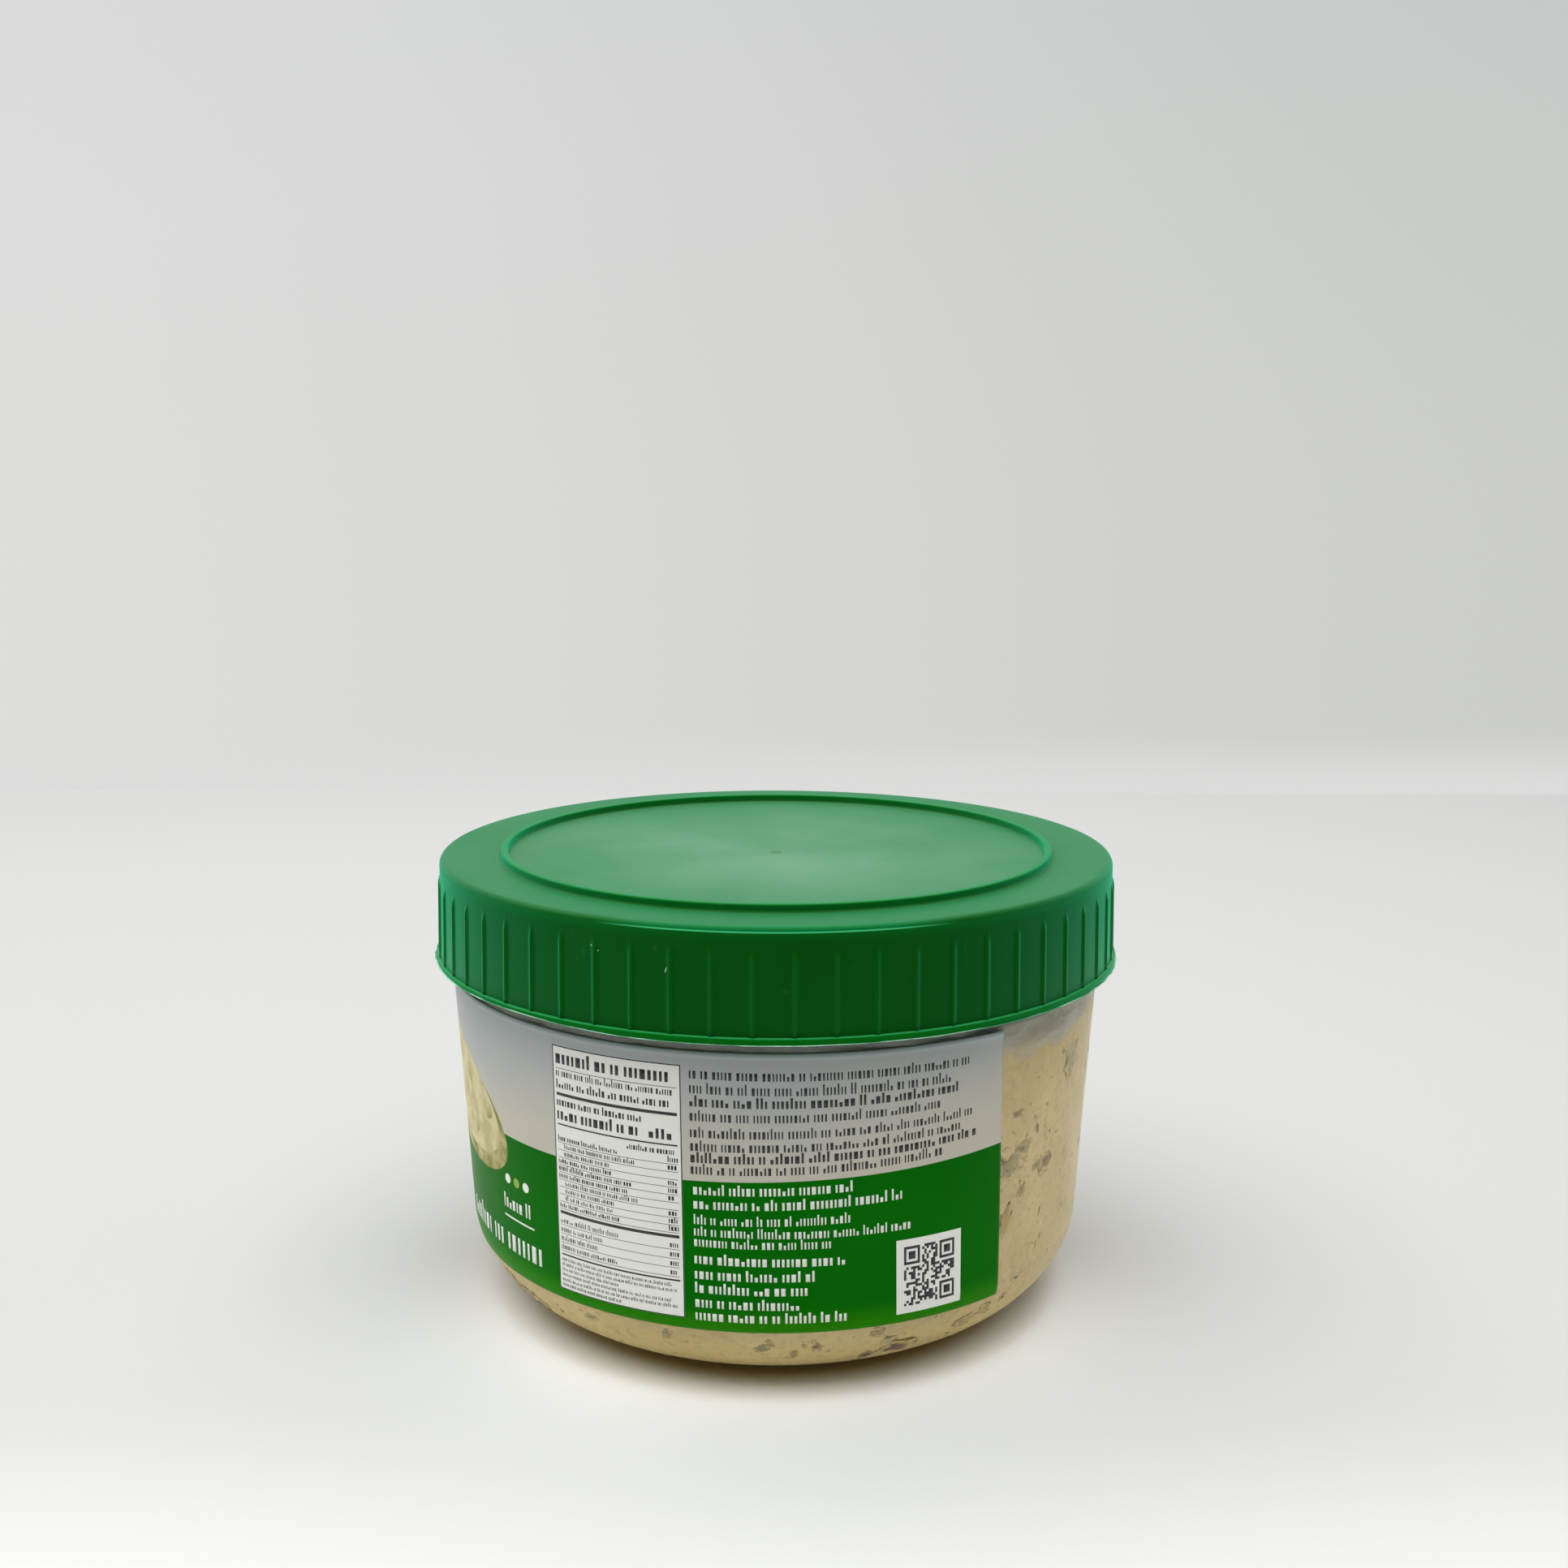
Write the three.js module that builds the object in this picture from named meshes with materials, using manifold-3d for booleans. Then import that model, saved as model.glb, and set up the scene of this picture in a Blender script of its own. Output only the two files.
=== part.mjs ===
// A round tub of pistachio halva: a clear cup with a deeply rounded foot, the halva packed in it,
// a paper label wrapped round the wall, and a ribbed cap with a raised ring on top.
// Millimetres, +Z up. The origin is the middle of the foot, and -Y is the front of the label.
// Angles round the tub are counted from the front towards +X.

import * as THREE from 'three';
import { mergeVertices } from 'three/addons/utils/BufferGeometryUtils.js';
import Module from 'manifold-3d';

const wasm = await Module();
wasm.setup();

// ---- Driving dimensions ----------------------------------------------------------------------

const SEGMENTS = 60; // facets round every turned piece
const AIR_GAP = 0.3; // clear space between the halva and the cup
const MERGE_DISTANCE = 1e-4;

const CUP = {
  shoulderHeight: 54.4, // foot to the lower edge of the cap
  shoulderRadius: 51.4, // outside of the wall at that height, and of the plain neck above it
  draft: 0.061, // how far the wall leans out for each millimetre of height
  footRise: 15.0, // height of the rounding between wall and foot
  footReach: 16.9, // and its width
  wall: 1.2,
  rimHeight: 68.7,
  rimRounding: 0.4,
};

const CAP = {
  height: 15.9, // lower edge to the edge of the top face
  topRadius: 53.15,
  skirtRadius: 53.45, // at the foot of the skirt, above the bead
  corner: 1.3, // rounding between the top face and the skirt
  dish: 1.05, // how far the middle of the top face sinks
  wall: 1.2,
  innerCorner: 0.5,
};

const BEAD = {
  radius: 54.3,
  lowerRadius: 54.0,
  lowerChamfer: 0.3,
  face: 0.8, // height where its upright face ends
  crownRadius: 54.05,
  crownHeight: 1.1,
  height: 1.4, // where it meets the skirt
};

const RING = {
  outerRadius: 43.8,
  innerRadius: 42.4,
  rise: 1.15, // over the top face beside it
  rounding: 0.3,
  fillet: 0.3,
};

const RIBS = {
  count: 60,
  phase: THREE.MathUtils.degToRad(2.9), // the first rib past the front
  footWidth: 0.95,
  crestWidth: 0.4,
  proud: 0.35, // over the skirt
  root: 0.35, // depth sunk in the skirt wall
  lowerHeight: 0.9, // inside the bead
  shoulderHeight: 11.6, // where a rib starts to fade
  upperHeight: 13.2, // where it is back in the skirt
};

const LABEL = {
  lowerHeight: 11.2,
  upperHeight: 52.5,
  clearance: 0.1, // between the cup and the paper
  thickness: 0.3,
  gapStart: THREE.MathUtils.degToRad(40), // the open stretch of wall, at mid height
  gapEnd: THREE.MathUtils.degToRad(118),
  edgeLean: THREE.MathUtils.degToRad(4.7), // the ends of a straight strip lean on a tapered wall
};

const HALVA = {
  level: 47.4, // mean height of the packed surface at the wall
  edgeDip: 0.9, // how unevenly it meets the wall
  crown: 1.2, // how far the middle stands over the edge
  lumps: 0.55,
  edgeRounding: 0.8,
  topRings: 6,
};

// ---- Helpers ---------------------------------------------------------------------------------

/** Points on part of an ellipse, both ends included. */
function arc(centreX, centreY, radiusX, radiusY, from, to, steps) {
  const points = [];
  for (let step = 0; step <= steps; step += 1) {
    const angle = from + ((to - from) * step) / steps;
    points.push([centreX + radiusX * Math.cos(angle), centreY + radiusY * Math.sin(angle)]);
  }
  return points;
}

/** The geometry with shared vertices merged, without the empty triangles at its poles. */
function closed(geometry) {
  geometry.deleteAttribute('normal');
  geometry.deleteAttribute('uv');
  const merged = mergeVertices(geometry, MERGE_DISTANCE);
  const corners = merged.index.array;
  const kept = [];
  for (let first = 0; first < corners.length; first += 3) {
    const [a, b, c] = [corners[first], corners[first + 1], corners[first + 2]];
    if (a !== b && b !== c && c !== a) kept.push(a, b, c);
  }
  merged.setIndex(kept);
  return merged;
}

/** A solid turned about +Z from [radius, height] points that run outwards, up and back in. */
function turned(profile) {
  const points = profile.map(([radius, height]) => new THREE.Vector2(radius, height));
  const geometry = new THREE.LatheGeometry(points, SEGMENTS);
  geometry.rotateX(Math.PI / 2);
  return closed(geometry);
}

/** A closed geometry as a solid that can be joined and cut. */
function toSolid(geometry) {
  const vertProperties = new Float32Array(geometry.attributes.position.array);
  const triVerts = new Uint32Array(geometry.index.array);
  return new wasm.Manifold(new wasm.Mesh({ numProp: 3, vertProperties, triVerts }));
}

/** A solid back as a geometry. */
function toGeometry(solid) {
  const mesh = solid.getMesh();
  const geometry = new THREE.BufferGeometry();
  geometry.setAttribute('position', new THREE.BufferAttribute(mesh.vertProperties, 3));
  geometry.setIndex(new THREE.BufferAttribute(mesh.triVerts, 1));
  return geometry;
}

// ---- The cup's outline, which the halva and the label follow ---------------------------------

/** Radius of the cup's outside on its straight wall. */
function wallRadius(height) {
  return CUP.shoulderRadius + CUP.draft * (height - CUP.shoulderHeight);
}

/** Radius of the cup's outside at any height, down into the rounding of the foot. */
function outsideRadius(height) {
  if (height >= CUP.footRise) return wallRadius(height);
  const drop = (CUP.footRise - height) / CUP.footRise;
  return wallRadius(CUP.footRise) - CUP.footReach * (1 - Math.sqrt(1 - drop * drop));
}

/** The rounded corner from the foot up to the wall, moved inwards by an inset. */
function footCorner(inset, steps) {
  const centre = wallRadius(CUP.footRise) - CUP.footReach;
  const [reach, rise] = [CUP.footReach - inset, CUP.footRise - inset];
  return arc(centre, CUP.footRise, reach, rise, -Math.PI / 2, 0, steps);
}

// ---- Cup -------------------------------------------------------------------------------------

/** The clear cup: one wall of even thickness, open at the rim. */
function cup() {
  const outer = CUP.shoulderRadius;
  const inner = outer - CUP.wall;
  const rimFoot = CUP.rimHeight - CUP.rimRounding;
  return turned([
    [0, 0],
    ...footCorner(0, 7),
    [outer, CUP.shoulderHeight],
    [outer, rimFoot],
    [outer - CUP.rimRounding, CUP.rimHeight],
    [inner + CUP.rimRounding, CUP.rimHeight],
    [inner, rimFoot],
    [inner, CUP.shoulderHeight],
    ...footCorner(CUP.wall, 6).reverse(),
    [0, CUP.wall],
  ]);
}

// ---- Halva -----------------------------------------------------------------------------------

/** Height of the packed surface, at an angle and a share of the way from the middle to the wall. */
function halvaSurface(angle, share) {
  const wave = 0.6 * Math.sin(3 * angle + 0.9) + 0.4 * Math.sin(7 * angle - 0.5);
  const edge = HALVA.edgeDip * wave * share * share;
  const middle = HALVA.crown * (1 - share * share);
  const swell = 4 * share * (1 - share);
  const lumps = HALVA.lumps * swell * Math.sin(5 * angle + 6 * share) * Math.cos(9 * share - 2 * angle);
  return HALVA.level + middle + edge + lumps;
}

/** The halva: it fills the cup, wall to wall, up to an uneven top. */
function halva() {
  const inset = CUP.wall + AIR_GAP;
  const sideTop = HALVA.level - 2 * HALVA.edgeDip;
  const edgeRadius = wallRadius(HALVA.level) - inset;
  const profile = [[0, inset], ...footCorner(inset, 6), [wallRadius(sideTop) - inset, sideTop]];
  for (let ring = HALVA.topRings; ring >= 0; ring -= 1) {
    profile.push([((edgeRadius - HALVA.edgeRounding) * ring) / HALVA.topRings, HALVA.level]);
  }
  const geometry = turned(profile);
  const position = geometry.attributes.position;
  for (let vertex = 0; vertex < position.count; vertex += 1) {
    if (position.getZ(vertex) > sideTop + MERGE_DISTANCE) {
      const [x, y] = [position.getX(vertex), position.getY(vertex)];
      position.setZ(vertex, halvaSurface(Math.atan2(y, x), Math.hypot(x, y) / edgeRadius));
    }
  }
  return geometry;
}

// ---- Label -----------------------------------------------------------------------------------

/** All space on one side of an upright plane through the axis that leans about its own radius. */
function spaceBeside(angle, side, lean) {
  const size = 4 * CUP.shoulderRadius;
  const block = new THREE.BoxGeometry(size, size, size);
  block.translate(0, (side * size) / 2, 0);
  block.rotateX(lean);
  block.rotateZ(angle - Math.PI / 2);
  block.translate(0, 0, (LABEL.lowerHeight + LABEL.upperHeight) / 2);
  return toSolid(closed(block));
}

/** The label: a thin band that follows the wall, open over part of the way round. */
function label() {
  const { lowerHeight, upperHeight, clearance, thickness, edgeLean } = LABEL;
  const bendHeight = (lowerHeight + CUP.footRise) / 2;
  const heights = [lowerHeight, bendHeight, CUP.footRise, upperHeight];
  const face = (offset) => heights.map((height) => [outsideRadius(height) + offset, height]);
  const outer = face(clearance + thickness);
  const inner = face(clearance).reverse();
  const band = toSolid(turned([...outer, ...inner, outer[0]]));
  const pastStart = spaceBeside(LABEL.gapStart, 1, edgeLean);
  const beforeEnd = spaceBeside(LABEL.gapEnd, -1, -edgeLean);
  return toGeometry(band.subtract(pastStart.intersect(beforeEnd)));
}

// ---- Cap -------------------------------------------------------------------------------------

/** Height of the cap's sunk top face over its lower edge. */
function topFace(radius) {
  const share = radius / (CAP.topRadius - CAP.corner);
  return CAP.height - CAP.dish * (1 - share * share);
}

/** Outside radius of the skirt at a height over the cap's lower edge. */
function skirtRadius(height) {
  return CAP.skirtRadius + ((CAP.topRadius - CAP.skirtRadius) * height) / CAP.height;
}

/** The raised ring's section, from outside to inside, standing on the top face. */
function ringSection() {
  const { outerRadius, innerRadius, rise, rounding, fillet } = RING;
  const [outerFoot, innerFoot] = [topFace(outerRadius), topFace(innerRadius)];
  const crest = outerFoot + rise;
  return [
    [outerRadius + fillet, topFace(outerRadius + fillet)],
    [outerRadius, outerFoot + fillet],
    [outerRadius, crest - rounding],
    [outerRadius - rounding, crest],
    [innerRadius + rounding, crest],
    [innerRadius, crest - rounding],
    [innerRadius, innerFoot + fillet],
    [innerRadius - fillet, topFace(innerRadius - fillet)],
  ];
}

/** The cap without its ribs, with its lower edge at height 0. */
function capShell() {
  const innerTop = CAP.topRadius - CAP.wall;
  const underside = (radius) => [radius, topFace(radius) - CAP.wall];
  const cornerFoot = CAP.height - CAP.corner;
  const [third, twoThirds] = [RING.innerRadius / 3, (2 * RING.innerRadius) / 3];
  return turned([
    underside(0),
    underside(twoThirds),
    underside(innerTop - CAP.innerCorner),
    [innerTop, CAP.height - CAP.wall - CAP.innerCorner],
    [CAP.skirtRadius - CAP.wall, 0],
    [BEAD.lowerRadius, 0],
    [BEAD.radius, BEAD.lowerChamfer],
    [BEAD.radius, BEAD.face],
    [BEAD.crownRadius, BEAD.crownHeight],
    [skirtRadius(BEAD.height), BEAD.height],
    ...arc(CAP.topRadius - CAP.corner, cornerFoot, CAP.corner, CAP.corner, 0, Math.PI / 2, 4),
    ...ringSection(),
    [twoThirds, topFace(twoThirds)],
    [third, topFace(third)],
    [0, topFace(0)],
  ]);
}

/** One grip rib: a narrow ridge whose upper end fades into the skirt. */
function rib(angle) {
  const levels = [RIBS.lowerHeight, RIBS.shoulderHeight, RIBS.upperHeight];
  const crests = [RIBS.proud, RIBS.proud, -RIBS.root / 2];
  const ridge = new THREE.BoxGeometry(1, 1, 1, 1, 1, levels.length - 1);
  const position = ridge.attributes.position;
  for (let vertex = 0; vertex < position.count; vertex += 1) {
    const level = Math.round((position.getZ(vertex) + 0.5) * (levels.length - 1));
    const isCrest = position.getY(vertex) < 0;
    const width = isCrest ? RIBS.crestWidth : RIBS.footWidth;
    const stand = isCrest ? crests[level] : -RIBS.root;
    const radius = skirtRadius(levels[level]) + stand;
    position.setXYZ(vertex, position.getX(vertex) * width, -radius, levels[level]);
  }
  ridge.rotateZ(angle);
  return toSolid(closed(ridge));
}

/** The cap: shell, bead and raised ring in one, with the ribs joined on round the skirt. */
function cap() {
  let solid = toSolid(capShell());
  for (let index = 0; index < RIBS.count; index += 1) {
    solid = solid.add(rib(RIBS.phase + (index * 2 * Math.PI) / RIBS.count));
  }
  return toGeometry(solid);
}

// ---- Assembly --------------------------------------------------------------------------------

/** A named mesh with its own finish. */
function piece(name, geometry, finish) {
  const mesh = new THREE.Mesh(geometry, new THREE.MeshStandardMaterial(finish));
  mesh.name = name;
  return mesh;
}

const tub = new THREE.Group();
tub.add(piece('cup', cup(), { color: 0xe6e8e2, roughness: 0.15, transparent: true, opacity: 0.35 }));
tub.add(piece('halva', halva(), { color: 0xc8b684, roughness: 0.85, metalness: 0 }));
tub.add(piece('label', label(), { color: 0xb9bfbd, roughness: 0.4, metalness: 0 }));

const lid = piece('cap', cap(), { color: 0x1f8a43, roughness: 0.4, metalness: 0 });
lid.position.z = CUP.shoulderHeight;
tub.add(lid);

export default tub;
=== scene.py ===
"""Looks of a shut tub of pistachio halva: clear cup, packed halva, printed wrap label and ribbed green cap.

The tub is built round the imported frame, in metres, with +Z up and the front of the label facing -Y.
Angles round the tub are counted from the front towards +X.
"""

import logging
import math
import random
from dataclasses import dataclass
from enum import Enum
from typing import Iterable, Sequence, Union

import bmesh
import bpy
from mathutils import Matrix, Vector, noise


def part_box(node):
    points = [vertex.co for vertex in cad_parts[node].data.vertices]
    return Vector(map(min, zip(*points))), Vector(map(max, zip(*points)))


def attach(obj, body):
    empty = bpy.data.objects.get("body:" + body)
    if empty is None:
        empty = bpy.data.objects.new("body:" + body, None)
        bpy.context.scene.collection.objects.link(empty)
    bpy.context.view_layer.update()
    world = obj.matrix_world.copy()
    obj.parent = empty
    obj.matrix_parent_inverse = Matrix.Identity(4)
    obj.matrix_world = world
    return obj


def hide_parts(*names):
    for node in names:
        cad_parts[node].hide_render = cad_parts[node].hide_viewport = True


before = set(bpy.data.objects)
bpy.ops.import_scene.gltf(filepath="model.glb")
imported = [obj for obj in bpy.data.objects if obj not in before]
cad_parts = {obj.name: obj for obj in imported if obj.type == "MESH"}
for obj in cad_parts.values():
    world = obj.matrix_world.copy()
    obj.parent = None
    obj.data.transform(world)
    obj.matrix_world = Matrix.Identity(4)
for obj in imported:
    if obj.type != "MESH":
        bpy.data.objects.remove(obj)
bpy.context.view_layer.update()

LOG = logging.getLogger("halva_tub")

MM = 0.001
MERGE = 1e-7
SECTORS = 30
BODY = "root"
Colour = tuple[float, float, float]
Outline = list[tuple[float, float]]
Box = tuple[float, float, float, float]
Socket = bpy.types.NodeSocket
Value = Union[Socket, float]
Tint = Union[Socket, Colour]


# ---- Sizes read from the frame -----------------------------------------------------------------


@dataclass(frozen=True)
class TubSizes:
    """The sizes that pieces share, in metres, taken from the boxes of the frame's nodes.

    Attributes:
        shoulder: height of the cap's lower edge.
        bead: radius of the cap's bead, the widest place.
        neck: outside radius of the cup at the shoulder and above.
        rim: height of the cup's rim.
        halva_top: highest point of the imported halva.
        label_low: height of the label's lower edge.
        label_high: height of its upper edge.
    """

    shoulder: float
    bead: float
    neck: float
    rim: float
    halva_top: float
    label_low: float
    label_high: float

    @classmethod
    def from_frame(cls) -> "TubSizes":
        """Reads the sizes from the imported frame.

        Returns:
            The sizes.
        """
        cap_low, cap_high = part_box("cap")
        _, cup_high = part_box("cup")
        _, halva_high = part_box("halva")
        label_low, label_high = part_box("label")
        return cls(
            shoulder=cap_low.z,
            bead=cap_high.x,
            neck=cup_high.x,
            rim=cup_high.z,
            halva_top=halva_high.z,
            label_low=label_low.z,
            label_high=label_high.z,
        )


@dataclass(frozen=True)
class WallLine:
    """The outside of the cup: a straight tapered wall over an elliptical foot corner."""

    shoulder: float
    neck: float
    draft: float = 0.061
    foot_rise: float = 15.0 * MM
    foot_reach: float = 16.9 * MM

    def straight(self, height: float) -> float:
        """Radius of the straight wall, carried on past its ends."""
        return self.neck + self.draft * (height - self.shoulder)

    def radius(self, height: float) -> float:
        """Outside radius at a height.

        Args:
            height: height over the foot.

        Returns:
            The radius of the wall, or of the foot corner below it.
        """
        if height >= self.foot_rise:
            return self.straight(height)
        drop = min(1.0, (self.foot_rise - height) / self.foot_rise)
        return self.straight(self.foot_rise) - self.foot_reach * (1 - math.sqrt(1 - drop * drop))

    def corner(self, inset: float, steps: int) -> Outline:
        """The foot corner moved inwards, from the flat foot up to the wall.

        Args:
            inset: how far inwards it lies.
            steps: number of stretches.

        Returns:
            Points of radius and height.
        """
        centre = self.straight(self.foot_rise) - self.foot_reach
        points = []
        for step in range(steps + 1):
            turn = math.pi / 2 * step / steps
            radius = centre + (self.foot_reach - inset) * math.sin(turn)
            height = self.foot_rise - (self.foot_rise - inset) * math.cos(turn)
            points.append((radius, height))
        return points


# ---- Shared ways of building -------------------------------------------------------------------


def spaced(low: float, high: float, count: int) -> list[float]:
    """Evenly spaced numbers from low to high, both included.

    Args:
        low: first number.
        high: last number.
        count: how many stretches lie between them.

    Returns:
        count + 1 numbers.
    """
    return [low + (high - low) * step / count for step in range(count + 1)]


def smooth_step(low: float, high: float, value: float) -> float:
    """0 below low and 1 above high, with an even curve between; high may be the smaller."""
    share = min(1.0, max(0.0, (value - low) / (high - low)))
    return share * share * (3 - 2 * share)


def rounded(corners: Sequence[tuple[float, float, float]], steps: int = 5) -> Outline:
    """An outline with its corners rounded.

    Args:
        corners: radius, height and rounding of each corner, in order.
        steps: stretches in each rounding.

    Returns:
        Points of radius and height.
    """
    points: Outline = []
    last = len(corners) - 1
    for index, (radius, height, rounding) in enumerate(corners):
        here = Vector((radius, height))
        if rounding <= 0 or index in (0, last):
            points.append((radius, height))
            continue
        back = (Vector(corners[index - 1][:2]) - here).normalized()
        onward = (Vector(corners[index + 1][:2]) - here).normalized()
        half = back.angle(onward) / 2
        centre = here + (back + onward).normalized() * (rounding / math.sin(half))
        start = here + back * (rounding / math.tan(half)) - centre
        sweep = start.angle_signed(here + onward * (rounding / math.tan(half)) - centre)
        for step in range(steps + 1):
            turned = start.copy()
            turned.rotate(Matrix.Rotation(-sweep * step / steps, 2))
            points.append(tuple(centre + turned))
    return points


def spin_outline(outline: Outline, columns: int, joined: bool = False) -> bmesh.types.BMesh:
    """Turns an outline about the upright axis: one sector first, which is then repeated all round.

    Args:
        outline: points of radius and height, in order.
        columns: number of stretches round the axis, a multiple of SECTORS.
        joined: True where the outline's last point joins its first.

    Returns:
        A closed bmesh with its faces outwards.
    """
    bm = bmesh.new()
    verts = [bm.verts.new((0.0, -radius, height)) for radius, height in outline]
    edges = [bm.edges.new(pair) for pair in zip(verts, verts[1:])]
    if joined:
        edges.append(bm.edges.new((verts[-1], verts[0])))
    turn = {"cent": (0.0, 0.0, 0.0), "axis": (0.0, 0.0, 1.0)}
    sector = math.tau / SECTORS
    bmesh.ops.spin(bm, geom=verts + edges, angle=sector, steps=columns // SECTORS, **turn)
    whole = [*bm.verts, *bm.edges, *bm.faces]
    bmesh.ops.spin(bm, geom=whole, angle=math.tau - sector, steps=SECTORS - 1, use_duplicate=True, **turn)
    bmesh.ops.remove_doubles(bm, verts=bm.verts, dist=MERGE)
    bmesh.ops.recalc_face_normals(bm, faces=bm.faces)
    return bm


def around(angle: float, radius: float, height: float) -> Vector:
    """The point at an angle round the tub, a radius from its axis and a height."""
    return Vector((radius * math.sin(angle), -radius * math.cos(angle), height))


def make_object(name: str, bm: bmesh.types.BMesh, material: bpy.types.Material) -> bpy.types.Object:
    """Makes a bmesh a smooth object of one finish, in the scene.

    Args:
        name: the object's name.
        bm: its shape, which is freed.
        material: its finish.

    Returns:
        The new object.
    """
    mesh = bpy.data.meshes.new(name)
    bm.to_mesh(mesh)
    bm.free()
    mesh.shade_smooth()
    mesh.materials.append(material)
    made = bpy.data.objects.new(name, mesh)
    bpy.context.scene.collection.objects.link(made)
    return made


def finish_piece(
    name: str,
    bm: bmesh.types.BMesh,
    material: bpy.types.Material,
    replaces: Iterable[str] = (),
) -> bpy.types.Object:
    """Makes a bmesh a smooth piece that rides on the tub.

    Args:
        name: the piece's name.
        bm: its shape, which is freed.
        material: its finish.
        replaces: nodes of the frame that it stands for.

    Returns:
        The new object.
    """
    piece = make_object(name, bm, material)
    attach(piece, BODY)
    for node in replaces:
        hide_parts(node)
    LOG.info("%s: %d faces", name, len(piece.data.polygons))
    return piece


# ---- Finishes ----------------------------------------------------------------------------------

PASTE_RELIEF = 0.12 * MM
PASTE_RELIEF_SHARE = 0.5
PASTE_CRUMB_SCALE = 650.0


class NodeBench:
    """Lays out and links the nodes of one material."""

    def __init__(self, name: str) -> None:
        """Starts an empty material with an output node.

        Args:
            name: the material's name.
        """
        self.material = bpy.data.materials.new(name)
        self.material.use_nodes = True
        self.tree = self.material.node_tree
        self.tree.nodes.clear()
        self.output = self.tree.nodes.new("ShaderNodeOutputMaterial")

    def add(self, kind: str, settings: dict | None = None, **inputs: object) -> bpy.types.Node:
        """Adds a node.

        Args:
            kind: the node's type, without its ShaderNode prefix.
            settings: properties of the node itself.
            inputs: sockets by name with underscores for spaces, each a value or a socket to link.

        Returns:
            The new node.
        """
        node = self.tree.nodes.new("ShaderNode" + kind)
        for key, value in (settings or {}).items():
            setattr(node, key, value)
        for key, value in inputs.items():
            self.feed(node.inputs[key.replace("_", " ")], value)
        return node

    def feed(self, socket: Socket, value: object) -> None:
        """Links a socket to another, or sets its value.

        Args:
            socket: the socket that is fed.
            value: a socket to link, or what to set.
        """
        if isinstance(value, bpy.types.NodeSocket):
            self.tree.links.new(value, socket)
        elif isinstance(value, tuple) and len(value) == 3 and socket.type == "RGBA":
            socket.default_value = (*value, 1.0)
        else:
            socket.default_value = value

    def noise(self, vector: Socket, scale: float, detail: float = 3.0, rough: float = 0.5) -> Socket:
        """A noise pattern's value socket."""
        node = self.add("TexNoise", Vector=vector, Scale=scale, Detail=detail, Roughness=rough)
        return node.outputs["Fac"]

    def ramp(
        self, value: Value, low: float, high: float, out_low: float = 0.0, out_high: float = 1.0
    ) -> Socket:
        """A value mapped smoothly from one range to another.

        Args:
            value: what is mapped.
            low: where the mapping starts, which may be above high.
            high: where it ends.
            out_low: the result at low and beyond.
            out_high: the result at high and beyond.

        Returns:
            The result's socket.
        """
        node = self.add(
            "MapRange",
            {"interpolation_type": "SMOOTHSTEP"},
            Value=value,
            From_Min=low,
            From_Max=high,
            To_Min=out_low,
            To_Max=out_high,
        )
        return node.outputs["Result"]

    def math(self, operation: str, first: Value, second: Value = 0.0) -> Socket:
        """One sum of two values.

        Args:
            operation: the sum's name in the Math node.
            first: the first value.
            second: the second value, unused by a sum of one.

        Returns:
            The result's socket.
        """
        node = self.add("Math", {"operation": operation})
        self.feed(node.inputs[0], first)
        self.feed(node.inputs[1], second)
        return node.outputs["Value"]

    def mix(self, share: Value, first: Tint, second: Tint) -> Socket:
        """A colour between two others.

        Args:
            share: how far it lies towards the second.
            first: the colour at 0.
            second: the colour at 1.

        Returns:
            The colour's socket.
        """
        node = self.add("Mix", {"data_type": "RGBA", "clamp_factor": True})
        self.feed(node.inputs[0], share)
        self.feed(node.inputs[6], first)
        self.feed(node.inputs[7], second)
        return node.outputs[2]

    def bump(self, height: Socket, distance: float, strength: float = 1.0) -> Socket:
        """A bumped normal from a height pattern."""
        node = self.add("Bump", Height=height, Distance=distance, Strength=strength)
        return node.outputs["Normal"]

    def place(self) -> Socket:
        """The object coordinates."""
        return self.add("TexCoord").outputs["Object"]

    def finish(self, shader: bpy.types.Node, output: str = "BSDF") -> bpy.types.Material:
        """Links the shader to the output and returns the material."""
        self.tree.links.new(shader.outputs[output], self.output.inputs["Surface"])
        return self.material


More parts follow.
